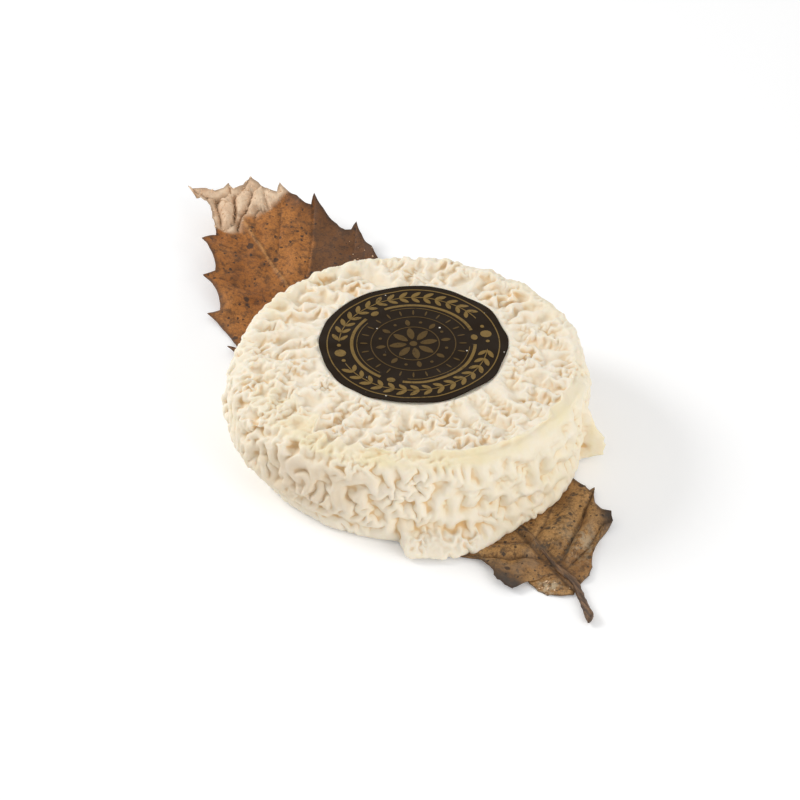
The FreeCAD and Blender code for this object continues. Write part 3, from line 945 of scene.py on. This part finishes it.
def draw_print(settings):
    """Wreath between two rings, and a rosette in a broken ring: a plain design of its own."""
    drawing = Print()
    drawing.arc(0.915, 0.34, 0.0, 360.0)
    for start_turn, end_turn in ((205.0, 352.0), (32.0, 178.0)):
        drawing.arc(0.79, 0.28, start_turn, end_turn)
        leaves = settings.wreath_leaves
        for number in range(leaves):
            turn = mix(start_turn + 2.0, end_turn - 2.0, (number + 0.5) / leaves)
            drawing.shape(0.835, turn + 1.9, 3.5, 1.45, 38.0, 1.5)
            drawing.shape(0.745, turn + 1.9, 3.2, 1.35, -38.0, 1.5)
    for turn in (12.0, 192.0):
        drawing.shape(0.79, turn, 3.4, 3.4, 0.0, 1.0)
        for step in (-9.5, 9.5):
            drawing.shape(0.79, turn + step, 1.2, 1.2, 0.0, 1.0)
    for start_turn, end_turn in ((20.0, 118.0), (140.0, 238.0), (260.0, 358.0)):
        drawing.arc(0.655, 0.95, start_turn, end_turn)
        drawing.arc(0.60, 0.22, start_turn + 4.0, end_turn - 4.0)
        drawing.shape(0.655, end_turn + 11.0, 2.6, 2.0, 0.0, 1.0)
    for number in range(settings.petals):
        turn = 360.0 * number / settings.petals
        drawing.shape(0.165, turn + 10.0, 5.2, 2.2, 90.0, 1.5)
        drawing.shape(0.35, turn + 10.0, 2.9, 1.5, 90.0, 1.6)
        drawing.shape(0.36, turn + 10.0 + 180.0 / settings.petals, 1.0, 1.0, 0.0, 1.0)
    drawing.arc(0.275, 0.3, 0.0, 360.0)
    drawing.arc(0.45, 0.3, 0.0, 360.0)
    for number in range(3 * settings.petals):
        turn = 120.0 * number / settings.petals
        drawing.shape(0.525, turn, 2.3, 0.55, 90.0, 1.2)
    drawing.shape(0.0, 0.0, 2.3, 2.3, 0.0, 1.0)
    points = np.array(drawing.points)
    return np.column_stack([points + LABEL_MIDDLE[:2], np.zeros(len(points))]), drawing.faces


def print_material(settings):
    material, tree, shader = new_material("label_print")
    place = tree.place()
    worn = tree.patches(place, 900.0, 4.0, 0.7, 0.50, 0.66)
    away = tree.times(worn, tree.linear(tree.patches(place, 110.0, 2.0, 0.5, 0.35, 0.75), 0.55, 0.15))
    apart = tree.node("ShaderNodeVectorMath", {0: place, 1: tuple(LABEL_MIDDLE * MM)}, operation="DISTANCE")
    inner = tree.ramp(apart.outputs["Value"], 0.019, 0.014)
    colour = tree.coats(settings.gold_colour, (inner, tinted(settings.gold_colour, (0.45, 0.42, 0.40))),
                        (away, settings.paper_colour))
    tree.link(colour, shader.inputs["Base Color"])
    shader.inputs["Metallic"].default_value = 0.35
    shader.inputs["Roughness"].default_value = 0.42
    shader.inputs["Specular IOR Level"].default_value = 0.15
    return material


class CHEESE_OT_make_label(bpy.types.Operator):
    """Make the label's paper and its gold print"""
    bl_idname = "cheese.make_label"
    bl_label = "Make Label"

    def execute(self, context):
        settings = context.scene.cheese_label
        centre = np.array((LABEL_MIDDLE[0], LABEL_MIDDLE[1], 0.0))
        rings = 44
        sectors = 240
        radii = np.append(np.linspace(0.7, LABEL_RADIUS - 0.4, rings), LABEL_RADIUS - 0.1)
        points, faces = polar_grid(radii, sectors, centre)
        outward = points - centre
        rim = smooth((np.linalg.norm(outward, axis=1) / LABEL_RADIUS - 0.9) / 0.1)
        points += outward * (0.006 * rim * wave_noise(points, 12.0, 33))[:, None]
        points[:, 2] = label_height(points, settings)
        paper = thicken(mesh_from_arrays("label_sheet", points, faces), settings.thickness, "label_sheet")
        finish_piece(paper, "label_paper", label_material(settings), "label")

        points, faces = draw_print(settings)
        points[:, 2] = label_height(points, settings) + settings.print_height / MM
        foil = thicken(mesh_from_arrays("label_print", points, faces), settings.print_height, "label_print")
        foil.data.shade_flat()
        finish_piece(foil, "label_paper", print_material(settings))
        return {"FINISHED"}


# --- Leaf ----------------------------------------------------------------------------------------------
def leaf_plan(along, across):
    """Plan place, about the cheese's axis, of a point given from the blade's foot and from the midrib."""
    forward = (along - LEAF_FRONT)[..., None] * LEAF_ALONG
    return forward + (across + LEAF_ASIDE)[..., None] * LEAF_ACROSS


def midrib_across(along):
    """The midrib bends aside at the blade's tip."""
    return -7.0 * smooth((along - 196.0) / 17.0) - 1.2 * np.sin(math.pi * np.clip(along / 196.0, 0.0, 1.0))


class BladeSide:
    """One side of the blade: its edge, and the place on the midrib that each point of the edge hangs on."""

    def __init__(self, edge, side):
        self.side = side
        along = np.array([point[0] for point in edge])
        out = np.array([point[1] for point in edge])
        thorns = np.array([len(point) > 2 for point in edge])
        steps = np.hypot(np.diff(along), np.diff(out))
        self.reach = np.concatenate([[0.0], np.cumsum(steps)])
        sweep = smooth((along + 10.0) / 50.0)
        root = np.maximum.accumulate(np.maximum(along - sweep * out, 0.0))
        root = root / root[-1] * 170.0 + self.reach / self.reach[-1] * 38.0
        self.root = root - root[0]
        self.along = along
        self.out = out
        self.vein_roots = self.root[thorns]

    def edge_at(self, root):
        """Edge for places on the midrib, hollowed a little between its marked points."""
        along = np.interp(root, self.root, self.along)
        out = np.interp(root, self.root, self.out)
        number = np.clip(np.searchsorted(self.root, root, side="right") - 1, 0, len(self.root) - 2)
        share = (root - self.root[number]) / (self.root[number + 1] - self.root[number])
        length = self.reach[number + 1] - self.reach[number]
        hollow_depth = 0.05 * length * np.sin(math.pi * np.clip(share, 0.0, 1.0))
        return along, out - hollow_depth

    def samples(self, fine, coarse):
        """Places on the midrib for an even walk along the edge, coarser where the cheese hides it."""
        walk = np.arange(0.0, self.reach[-1], fine)
        root = np.interp(walk, self.reach, self.root)
        along = np.interp(root, self.root, self.along)
        hidden = (along > 46.0) & (along < 134.0)
        kept = ~hidden | (np.arange(len(walk)) % int(coarse / fine) == 0)
        return np.concatenate([root[kept], self.root])

    def phase(self, root):
        """0 at a side vein and 1 at the next one, and the distance along the midrib to the nearest."""
        roots = np.concatenate([[-8.0], self.vein_roots, [self.root[-1] + 6.0]])
        number = np.clip(np.searchsorted(roots, root, side="right") - 1, 0, len(roots) - 2)
        share = (root - roots[number]) / (roots[number + 1] - roots[number])
        apart = np.minimum(root - roots[number], roots[number + 1] - root)
        return share, apart


class Blade:
    """The leaf's blade as rows of points from its left edge over the midrib to its right edge."""

    def __init__(self, settings, columns=30):
        right = BladeSide(RIGHT_EDGE, 1.0)
        left = BladeSide(LEFT_EDGE, -1.0)
        root = np.sort(np.concatenate([right.samples(0.9, 4.0), left.samples(0.9, 4.0)]))
        last = min(right.root[-1], left.root[-1])
        root = root[(root <= last)]
        gaps = np.concatenate([[1.0], np.diff(root)])
        root = root[gaps > 0.02]
        root[-1] = last
        even = np.linspace(0.0, 1.0, columns + 1)
        shares = even - 0.09 * np.sin(2.0 * math.pi * even)
        rows = []
        for side, signed in ((left, -shares[:0:-1]), (right, shares)):
            edge_along, edge_out = side.edge_at(root)
            share = np.abs(signed)[None, :]
            on_rib = np.minimum(root * 0.985, 206.0)
            along = mix(on_rib[:, None], edge_along[:, None], share ** 1.25)
            middle = midrib_across(along)
            across = mix(middle, side.side * edge_out[:, None], share)
            phase, apart = side.phase(root)
            ones = np.ones_like(along)
            rows.append((along, across, signed[None, :] * ones, phase[:, None] * ones,
                         apart[:, None] * ones * (1.0 + 0.5 * share), root[:, None] * ones))
        parts = [np.concatenate([first, second], axis=1) for first, second in zip(*rows)]
        self.shape = parts[0].shape
        self.fold_root = right.vein_roots[FOLD_VEIN]
        flat_parts = (part.ravel() for part in parts)
        self.along, self.across, self.side, self.phase, self.from_vein, self.root = flat_parts
        self.place(settings)

    def spot(self, along, across, length, width):
        """1 at a place on the blade, falling off alike round it."""
        return np.exp(-((self.along - along) / length) ** 2 - ((self.across - across) / width) ** 2)

    def place(self, settings):
        """Heights of the blade: flat under the cheese, curled, pleated and crumpled where it lies free."""
        plan = leaf_plan(self.along, self.across)
        flat = np.column_stack([plan, np.zeros(len(plan))])
        seed = settings.seed
        free = smooth((np.hypot(plan[:, 0], plan[:, 1]) - 52.5) / 7.0)
        low = smooth((70.0 - self.along) / 20.0)
        width = np.abs(self.across - midrib_across(self.along))
        reach = np.abs(self.side)
        curl = CURL_HEIGHT * smooth(1.0 - (BLADE_LENGTH - self.along) / CURL_LENGTH)
        pleat = np.sin(math.pi * self.phase) ** 0.8 * np.sin(math.pi * np.clip(reach, 0.0, 1.0)) ** 0.7
        pleat = pleat * smooth(width / 6.0) * mix(0.5, 2.2, low) - 0.4
        turned_up = 0.9 * reach ** 4 * (1.0 + 0.7 * wave_noise(flat, 24.0, seed)) * smooth(width / 8.0)
        crumple = (0.40 * wave_noise(flat, 16.0, seed + 1) + 0.20 * wave_noise(flat, 7.0, seed + 2)
                   + 0.07 * wave_noise(flat, 3.2, seed + 3))
        self.rot = smooth((self.along - 187.0 - 0.3 * np.maximum(self.across - 3.0, 0.0)
                           + 1.3 * wave_noise(flat, 7.0, seed + 4)) / 2.2)
        folds = np.abs(wave_noise(flat * (1.6, 0.8, 1.0), 10.5, seed + 5))
        folds = 3.4 * (1.0 - np.exp(-2.4 * folds)) + 0.7 * np.abs(wave_noise(flat, 5.0, seed + 6)) - 3.0
        folds = folds * (1.0 - 0.75 * reach ** 3)
        # Share of the way up from the folds to the crests, which the mould's painted light and shade follow.
        self.puff = smooth((folds + 2.6) / 3.0)
        stem = mix(0.55, 1.15, smooth((60.0 - self.along) / 60.0))
        rib = bell(width, 0.8 * stem) * mix(0.30, 1.15, low) * (1.0 - self.rot)
        groove = bell(width - 1.7 * stem, 0.7 * stem) * mix(0.10, 0.35, low)
        inside = smooth((1.0 - reach) / 0.1)
        vein = bell(self.from_vein, mix(0.55, 0.85, low)) * smooth(width / 3.0) * inside
        self.vein = bell(self.from_vein, 0.5) * smooth(width / 2.0) * inside
        self.rib = bell(width, mix(1.1, 1.0, low) * stem)
        self.beside = bell(width - 1.45 * stem, 0.55 * stem) * (1.0 - self.rot)
        cup = self.spot(10.0, -18.5, 6.0, 3.0) + self.spot(20.0, 26.0, 3.5, 3.0)
        lift = 1.6 * cup + pleat + turned_up + crumple * (1.0 - 0.6 * self.rot) + self.rot * folds
        height = curl + free * (lift + rib - groove - mix(0.12, 0.55, low) * vein)
        height = BLADE_LEVEL + np.maximum(height, -0.35 * free)
        self.points = np.column_stack([plan, height])
        self.flat = flat
        self.free = free
        self.low = low
        self.reach = reach

    def mesh(self, name):
        rows, columns = self.shape
        number = np.arange(rows * columns).reshape(rows, columns)
        quads = np.stack([number[:-1, :-1], number[:-1, 1:], number[1:, 1:], number[1:, :-1]], axis=-1)
        return mesh_from_arrays(name, self.points + AXIS, quads.reshape(-1, 4).tolist())

    def marks(self, seed):
        """Shares from 0 to 1 that the material's colours follow."""
        side = np.sign(self.side)
        # Painted shade: the right part of the upper blade, up to the fold vein, is painted dark brown as if
        # turned away from the light.
        shade = smooth((self.root - self.fold_root + 1.5 + 0.5 * wave_noise(self.flat, 8.0, seed + 10)) / 2.0)
        right_shade = (side > 0) * (1.0 - self.low) * (1.0 - shade) * smooth((self.reach - 0.05) / 0.2)
        lobe = 1.5 * self.spot(11.0, -17.0, 6.5, 4.5) + 1.2 * self.spot(18.5, 24.0, 4.0, 3.0)
        fringe = (side > 0) * (1.0 - self.low) * smooth((self.reach - 0.80) / 0.15) * (1.0 - self.rot)
        fuzz = self.spot(5.0, -7.0, 3.5, 3.5)
        dry = 0.6 * self.spot(13.0, 11.0, 8.0, 6.0)
        crumbs = self.spot(160.0, 27.0, 5.0, 3.0)
        # Dark: painted shade on the right of the upper blade, with the leaf's own dark fringe along its right
        # edge.
        return {"dark": np.clip(right_shade + 0.5 * fringe, 0.0, 1.0),
                "edge": smooth((self.reach - 0.93) / 0.07), "vein": self.vein,
                "rib": self.rib * (1.0 - self.rot), "mould": self.rot, "low": self.low,
                "fuzz": np.maximum(fuzz, dry), "beside": self.beside, "grey": np.clip(lobe, 0.0, 1.0),
                "puff": self.puff,
                "growth": np.clip(0.16 * self.rot + 0.10 * crumbs + 0.22 * fuzz, 0.0, 1.0)}


def blotch_group():
    """Shader group: round spots of many sizes and a fine net, from object coordinates in metres."""
    group, tree, _, outlet = shader_group("leaf marks", (), ("Spots", "Specks", "Net", "Cloud"))
    place = tree.place()
    bend = tree.node("ShaderNodeTexNoise", {"Vector": place, "Scale": 900.0, "Detail": 2.0})
    shifted = tree.node("ShaderNodeVectorMath", {0: bend.outputs["Color"], 1: (0.0009, 0.0009, 0.0009)},
                        operation="MULTIPLY")
    moved = tree.node("ShaderNodeVectorMath", {0: place, 1: shifted.outputs[0]}, operation="ADD").outputs[0]
    for name, scale, rare, size in (("Spots", 260.0, 0.74, 0.28), ("Specks", 640.0, 0.48, 0.30)):
        dots = tree.group(dots_group(), Vector=moved, Scale=scale, Rare=rare, Size=size,
                          Least=0.08, Soft=0.09)
        tree.link(dots["Mask"], outlet[name])
    net = tree.node("ShaderNodeTexVoronoi", {"Vector": moved, "Scale": 620.0}, feature="DISTANCE_TO_EDGE")
    tree.link(tree.ramp(net.outputs["Distance"], 0.10, 0.0), outlet["Net"])
    tree.link(tree.noise(place, 120.0, 6.0, 0.62, 0.4), outlet["Cloud"])
    return group


def leaf_material(settings):
    """Layers of colour: the dry blade and its veins with painted shade on the right of its upper part, then
    spots and films, and the mould over them with painted shade in its folds.
    """
    material, tree, shader = new_material("dry_leaf")
    place = tree.place()
    marks = tree.group(blotch_group())
    warm, dull, dark, pale = (tuple(colour) for colour in (settings.warm_colour, settings.dull_colour,
                                                           settings.dark_colour, settings.pale_colour))
    low, edge, rot = (tree.attribute(name) for name in ("low", "edge", "mould"))

    def masked(name, share):
        return tree.times(tree.attribute(name), share)

    broad = tree.patches(place, 45.0, 4.0, 0.6, 0.35, 0.68)
    upper = tree.blend(broad, tree.blend(0.30, warm, dark), tree.blend(0.18, warm, pale))
    lower = tree.blend(broad, tree.blend(0.30, dull, dark), tree.blend(0.50, dull, pale))
    rib = tree.blend(low, tree.blend(0.5, warm, pale), tree.blend(0.55, dull, dark))
    cloud = tree.times(tree.ramp(marks["Cloud"], 0.50, 0.72), 0.45)
    # The dark mask lays painted shade on the right of the upper blade, and the dark fringe of its right edge.
    colour = tree.coats(tree.blend(low, upper, lower), (cloud, dark),
                        (masked("dark", tree.linear(low, 0.15, 0.70)), dark),
                        (tree.times(marks["Net"], 0.22), dark),
                        (masked("vein", tree.linear(low, 0.35, 0.22)), dark), (masked("rib", 0.7), rib),
                        (masked("beside", tree.linear(low, 0.55, 0.22)), dark))
    pepper = tree.times(tree.patches(place, 1500.0, 4.0, 0.7, 0.52, 0.64), 0.42)
    mottle = tree.times(tree.patches(place, 520.0, 6.0, 0.72, 0.47, 0.62), 0.62)
    clusters = tree.times(tree.patches(place, 190.0, 6.0, 0.72, 0.56, 0.64), tree.linear(low, 0.78, 0.10))
    film = tree.times(tree.patches(place, 85.0, 5.0, 0.65, 0.52, 0.72), tree.linear(low, 0.26, 0.04))
    grey = masked("grey", tree.linear(tree.patches(place, 300.0, 5.0, 0.65, 0.25, 0.55), 0.35, 0.60))
    spots = tree.times(tree.math("MAXIMUM", marks["Spots"], marks["Specks"]), 0.85)
    colour = tree.coats(colour, (pepper, dark), (mottle, dark), (clusters, (0.045, 0.035, 0.028)),
                        (film, (0.36, 0.28, 0.19)), (grey, (0.050, 0.040, 0.033)),
                        (spots, (0.030, 0.018, 0.012)), (tree.times(edge, 0.7), dark))
    mould = tree.times(rot, tree.linear(tree.patches(place, 200.0, 6.0, 0.7, 0.33, 0.60), 0.40, 0.55))
    # Painted light and shade on the mould: paler on its crests, browner and darker down in its folds.
    sunk = tinted(settings.mould_colour, (0.50, 0.42, 0.34))
    mould_with_fold_shade = tree.blend(tree.attribute("puff"), sunk, settings.mould_colour)
    fuzz = masked("fuzz", tree.patches(place, 420.0, 4.0, 0.7, 0.42, 0.6))
    rim = tree.times(tree.times(edge, rot), 0.55)
    colour = tree.coats(colour, (mould, mould_with_fold_shade), (fuzz, (0.52, 0.42, 0.28)), (rim, (0.20, 0.10, 0.045)))
    tree.link(colour, shader.inputs["Base Color"])
    shader.inputs["Roughness"].default_value = 0.62
    shader.inputs["Specular IOR Level"].default_value = 0.35
    tree.bump(shader, tree.linear(marks["Net"], -0.35, tree.noise(place, 900.0, 4.0, 0.65)), 0.55, 0.00018)
    return material


def stalk_material():
    """Dark brown, streaked along the stalk."""
    material, tree, shader = new_material("leaf_stalk")
    drawn = tree.node("ShaderNodeMapping", {"Vector": tree.place(), "Rotation": (0.0, 0.0, LEAF_ANGLE),
                                            "Scale": (7.0, 1.0, 1.0)}, vector_type="TEXTURE")
    streak = tree.patches(drawn.outputs[0], 900.0, 5.0, 0.65, 0.38, 0.66)
    colour = tree.blend(streak, (0.055, 0.028, 0.014), (0.25, 0.135, 0.062))
    tree.link(colour, shader.inputs["Base Color"])
    shader.inputs["Roughness"].default_value = 0.6
    tree.bump(shader, streak, 0.7, 0.00015)
    return material


def mould_material(settings):
    """Dry and chalky, uneven in tone."""
    material, tree, shader = new_material("leaf_mould")
    tone = tree.patches(tree.place(), 500.0, 4.0, 0.6, 0.35, 0.65)
    colour = tree.blend(tone, tinted(settings.mould_colour, (0.72, 0.62, 0.52)), settings.mould_colour)
    tree.link(colour, shader.inputs["Base Color"])
    shader.inputs["Roughness"].default_value = 0.9
    shader.inputs["Specular IOR Level"].default_value = 0.2
    return material


def crumb_tree():
    """Geometry nodes: small uneven grains scattered where the growth attribute asks for them."""
    group = bpy.data.node_groups.new("mould grains", "GeometryNodeTree")
    inputs = {}
    for name, kind in (("Geometry", "Geometry"), ("Density", "Float"), ("Largest", "Float"), ("Seed", "Int"),
                       ("Material", "Material")):
        socket = group.interface.new_socket(name, in_out="INPUT", socket_type="NodeSocket" + kind)
        inputs[name] = socket.identifier
    group.interface.new_socket("Geometry", in_out="OUTPUT", socket_type="NodeSocketGeometry")
    tree = Tree(group)
    inlet = tree.node("NodeGroupInput").outputs
    outlet = tree.node("NodeGroupOutput")
    growth = tree.node("GeometryNodeInputNamedAttribute", {"Name": "growth"}, data_type="FLOAT")
    density = tree.times(growth.outputs["Attribute"], inlet["Density"])
    points = tree.node("GeometryNodeDistributePointsOnFaces",
                       {"Mesh": inlet["Geometry"], "Density": density, "Seed": inlet["Seed"]}).outputs
    grain = tree.node("GeometryNodeMeshIcoSphere", {"Radius": 1.0, "Subdivisions": 2}).outputs
    size = tree.node("FunctionNodeRandomValue", {2: 0.25, "Seed": inlet["Seed"]}, data_type="FLOAT")
    scale = tree.times(tree.math("POWER", size.outputs[1], 1.7), inlet["Largest"])
    placed = tree.node("GeometryNodeInstanceOnPoints", {"Points": points["Points"], "Instance": grain["Mesh"],
                                                        "Rotation": points["Rotation"], "Scale": scale})
    whole = tree.node("GeometryNodeRealizeInstances", {"Geometry": placed.outputs["Instances"]})
    noise = tree.node("ShaderNodeTexNoise", {"Scale": 1600.0, "Detail": 2.0})
    away = tree.node("ShaderNodeVectorMath", {0: noise.outputs["Color"], 1: (0.5, 0.5, 0.5)},
                     operation="SUBTRACT")
    offset = tree.node("ShaderNodeVectorMath", {0: away.outputs[0], 1: (0.0007, 0.0007, 0.0005)},
                       operation="MULTIPLY")
    uneven = tree.node("GeometryNodeSetPosition", {"Geometry": whole.outputs[0], "Offset": offset.outputs[0]})
    covered = tree.node("GeometryNodeSetMaterial",
                        {"Geometry": uneven.outputs[0], "Material": inlet["Material"]})
    tree.link(covered.outputs[0], outlet.inputs["Geometry"])
    return group, inputs


def grow_mould(sheet, settings, material):
    """Mesh of the mould's grains on the sheet."""
    group, inputs = crumb_tree()
    holder = add_object("leaf_mould", sheet)
    modifier = holder.modifiers.new("grains", "NODES")
    modifier.node_group = group
    modifier[inputs["Density"]] = float(settings.mould_grains)
    modifier[inputs["Largest"]] = settings.grain_size
    modifier[inputs["Seed"]] = settings.seed
    modifier[inputs["Material"]] = material
    mesh = evaluated_mesh(holder)
    bpy.data.objects.remove(holder)
    mesh.name = "leaf_mould"
    mesh.shade_smooth()
    return add_object("leaf_mould", mesh)


def stalk_mesh(settings, blade):
    """Stalk from where it thins out on the midrib to its slanting broken end."""
    rings = 60
    around = 20
    rows, columns = blade.shape
    rib_along = blade.along.reshape(rows, columns)[:, columns // 2]
    rib_height = blade.points[:, 2].reshape(rows, columns)[:, columns // 2]
    points = []
    for ring in range(rings):
        along = mix(22.0, 1.0 - STALK_LENGTH, ring / (rings - 1.0))
        share = max(3.0 - along, 0.0) / (STALK_LENGTH + 2.0)
        on_rib = smooth((along + 1.0) / 4.0)
        across = mix(mix(0.0, -4.3, share ** 1.15), midrib_across(along), on_rib)
        centre = leaf_plan(np.array(along), np.array(across))
        radius = mix(1.08, 0.35, smooth(along / 22.0)) + 0.35 * smooth(4.0 * share - 2.8)
        level = mix(1.25, np.interp(along, rib_along, rib_height) - 0.35, on_rib)
        for step in range(around):
            turn = 2.0 * math.pi * step / around
            ridge = 1.0 + 0.09 * math.sin(3.0 * turn + 5.0 * share)
            ridge += 0.05 * math.sin(7.0 * turn + 23.0 * share)
            out = radius * ridge * math.cos(turn)
            up = 0.85 * radius * ridge * math.sin(turn)
            slant = 0.5 * out * smooth(6.0 * share - 5.0)
            spot = centre + out * LEAF_ACROSS + slant * LEAF_ALONG
            points.append((spot[0], spot[1], max(level + up, 0.05)))
    faces = ring_faces(rings, around)
    faces.append(tuple(range(around)))
    faces.append(tuple(reversed(range((rings - 1) * around, rings * around))))
    points = np.array(points)
    points += 0.06 * wave_noise(points, 2.2, settings.seed + 20)[:, None] * (1.0, 1.0, 0.3)
    points[:, 2] = np.maximum(points[:, 2], 0.02)
    return mesh_from_arrays("leaf_stalk", points + AXIS, faces)


def edit_mesh(mesh, change):
    work = bmesh.new()
    work.from_mesh(mesh)
    change(work)
    work.to_mesh(mesh)
    work.free()


def face_outwards(mesh):
    edit_mesh(mesh, lambda work: bmesh.ops.recalc_face_normals(work, faces=work.faces))


def join_doubles(mesh, distance):
    edit_mesh(mesh, lambda work: bmesh.ops.remove_doubles(work, verts=work.verts, dist=distance))


class CHEESE_OT_make_leaf(bpy.types.Operator):
    """Make the dry leaf: blade, stalk and mould"""
    bl_idname = "cheese.make_leaf"
    bl_label = "Make Leaf"

    def execute(self, context):
        settings = context.scene.cheese_leaf
        blade = Blade(settings)
        sheet = blade.mesh("leaf_sheet")
        for name, values in blade.marks(settings.seed).items():
            set_attribute(sheet, name, values)
        join_doubles(sheet, 2e-6)
        mould = grow_mould(sheet, settings, mould_material(settings))
        leaf = thicken(sheet, settings.thickness, "leaf_blade")
        leaf.data.shade_smooth()
        finish_piece(leaf, "dry_leaf", leaf_material(settings), "leaf")
        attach(mould, BODY)
        mesh = stalk_mesh(settings, blade)
        face_outwards(mesh)
        finish_piece(add_object("leaf_stalk", mesh), "dry_leaf", stalk_material())
        return {"FINISHED"}


# --- Stage ---------------------------------------------------------------------------------------------
# Lengths in metres; the lens and its sensor in millimetres.
FLOOR_REACH = 3.0                       # from the middle to the floor's sides
KEY_PLACE = (-0.74, 0.26, 0.58)
KEY_SIZE = 0.36
FILL_PLACE = (0.75, -0.75, 0.45)
FILL_SIZE = 0.7
CAMERA_LENS = 138.2
CAMERA_SENSOR = 36.0
CAMERA_ELEVATION = math.radians(39.69)
CAMERA_DISTANCE = 0.9
CAMERA_TARGET = ((AXIS[0] - 2.2) * MM, AXIS[1] * MM, 0.0128)


def add_lamp(name, place, target, size, power):
    """Round lamp that shines on the target."""
    lamp = bpy.data.lights.new(name, "AREA")
    lamp.shape = "DISK"
    lamp.size = size
    lamp.energy = power
    obj = add_object(name, lamp)
    obj.location = place
    obj.rotation_euler = (Vector(target) - Vector(place)).to_track_quat("-Z", "Y").to_euler()
    return obj


def floor_material(settings):
    """Near-white floor that glows a little, but only where the camera sees it."""
    material, tree, shader = new_material("floor")
    shader.inputs["Base Color"].default_value = (*settings.floor_colour, 1.0)
    shader.inputs["Roughness"].default_value = 0.9
    shader.inputs["Specular IOR Level"].default_value = 0.1
    path = tree.node("ShaderNodeLightPath")
    shader.inputs["Emission Color"].default_value = (1.0, 1.0, 1.0, 1.0)
    seen = tree.times(path.outputs["Is Camera Ray"], settings.glow)
    tree.link(seen, shader.inputs["Emission Strength"])
    return material


def lay_floor(settings):
    corners = np.array(((-1, -1, 0), (1, -1, 0), (1, 1, 0), (-1, 1, 0)), float)
    mesh = mesh_from_arrays("floor", FLOOR_REACH * corners, [(0, 1, 2, 3)], 1.0)
    floor = add_object("floor", mesh)
    mesh.materials.append(floor_material(settings))


def light_sky(scene, settings):
    """White sky; as light on the pieces it has the strength of the setting."""
    world = bpy.data.worlds.new("sky")
    scene.world = world
    world.use_nodes = True
    sky = Tree(world.node_tree)
    background = world.node_tree.nodes["Background"]
    background.inputs["Color"].default_value = (1.0, 1.0, 1.0, 1.0)
    sight = sky.node("ShaderNodeLightPath")
    seen = sky.math("MAXIMUM", sight.outputs["Is Camera Ray"], sight.outputs["Is Glossy Ray"])
    seen = sky.math("MAXIMUM", seen, sight.outputs["Is Transmission Ray"])
    sky.link(sky.between(seen, settings.sky_level, 1.0), background.inputs["Strength"])


def set_up_camera(scene):
    """Camera in front, looking down on the cheese."""
    camera = bpy.data.cameras.new("camera")
    camera.lens = CAMERA_LENS
    camera.sensor_width = CAMERA_SENSOR
    camera.clip_start = 0.01
    view = add_object("camera", camera)
    back = Vector((0.0, -math.cos(CAMERA_ELEVATION), math.sin(CAMERA_ELEVATION)))
    view.location = Vector(CAMERA_TARGET) + CAMERA_DISTANCE * back
    view.rotation_euler = (0.5 * math.pi - CAMERA_ELEVATION, 0.0, 0.0)
    scene.camera = view


class CHEESE_OT_make_stage(bpy.types.Operator):
    """Make the floor, the lamps and the camera"""
    bl_idname = "cheese.make_stage"
    bl_label = "Make Stage"

    def execute(self, context):
        settings = context.scene.cheese_stage
        context.scene.view_settings.view_transform = "Standard"
        lay_floor(settings)
        light_sky(context.scene, settings)
        add_lamp("key_lamp", KEY_PLACE, CAMERA_TARGET, KEY_SIZE, settings.key_level)
        add_lamp("fill_lamp", FILL_PLACE, CAMERA_TARGET, FILL_SIZE, settings.fill_level)
        set_up_camera(context.scene)
        return {"FINISHED"}


# --- Panel and registration ------------------------------------------------------------------------------
STEPS = (CHEESE_OT_make_rind, CHEESE_OT_make_label, CHEESE_OT_make_leaf, CHEESE_OT_make_stage)
SETTINGS = {"cheese_rind": RindSettings, "cheese_label": LabelSettings, "cheese_leaf": LeafSettings,
            "cheese_stage": StageSettings}


class CHEESE_PT_panel(bpy.types.Panel):
    """Steps and settings of the cheese"""
    bl_idname = "CHEESE_PT_panel"
    bl_label = "Goat Cheese on a Leaf"
    bl_space_type = "VIEW_3D"
    bl_region_type = "UI"
    bl_category = "Cheese"

    def draw(self, context):
        for step in STEPS:
            self.layout.operator(step.bl_idname)
        for name, group in SETTINGS.items():
            box = self.layout.box()
            for setting in group.__annotations__:
                box.prop(getattr(context.scene, name), setting)


def register():
    for group in SETTINGS.values():
        bpy.utils.register_class(group)
    for name, group in SETTINGS.items():
        setattr(bpy.types.Scene, name, bpy.props.PointerProperty(type=group))
    for step in (*STEPS, CHEESE_PT_panel):
        bpy.utils.register_class(step)


def unregister():
    for step in (CHEESE_PT_panel, *reversed(STEPS)):
        bpy.utils.unregister_class(step)
    for name, group in reversed(list(SETTINGS.items())):
        delattr(bpy.types.Scene, name)
        bpy.utils.unregister_class(group)


def main():
    register()
    for step in STEPS:
        group, name = step.bl_idname.split(".")
        getattr(getattr(bpy.ops, group), name)()


if __name__ == "__main__":
    main()
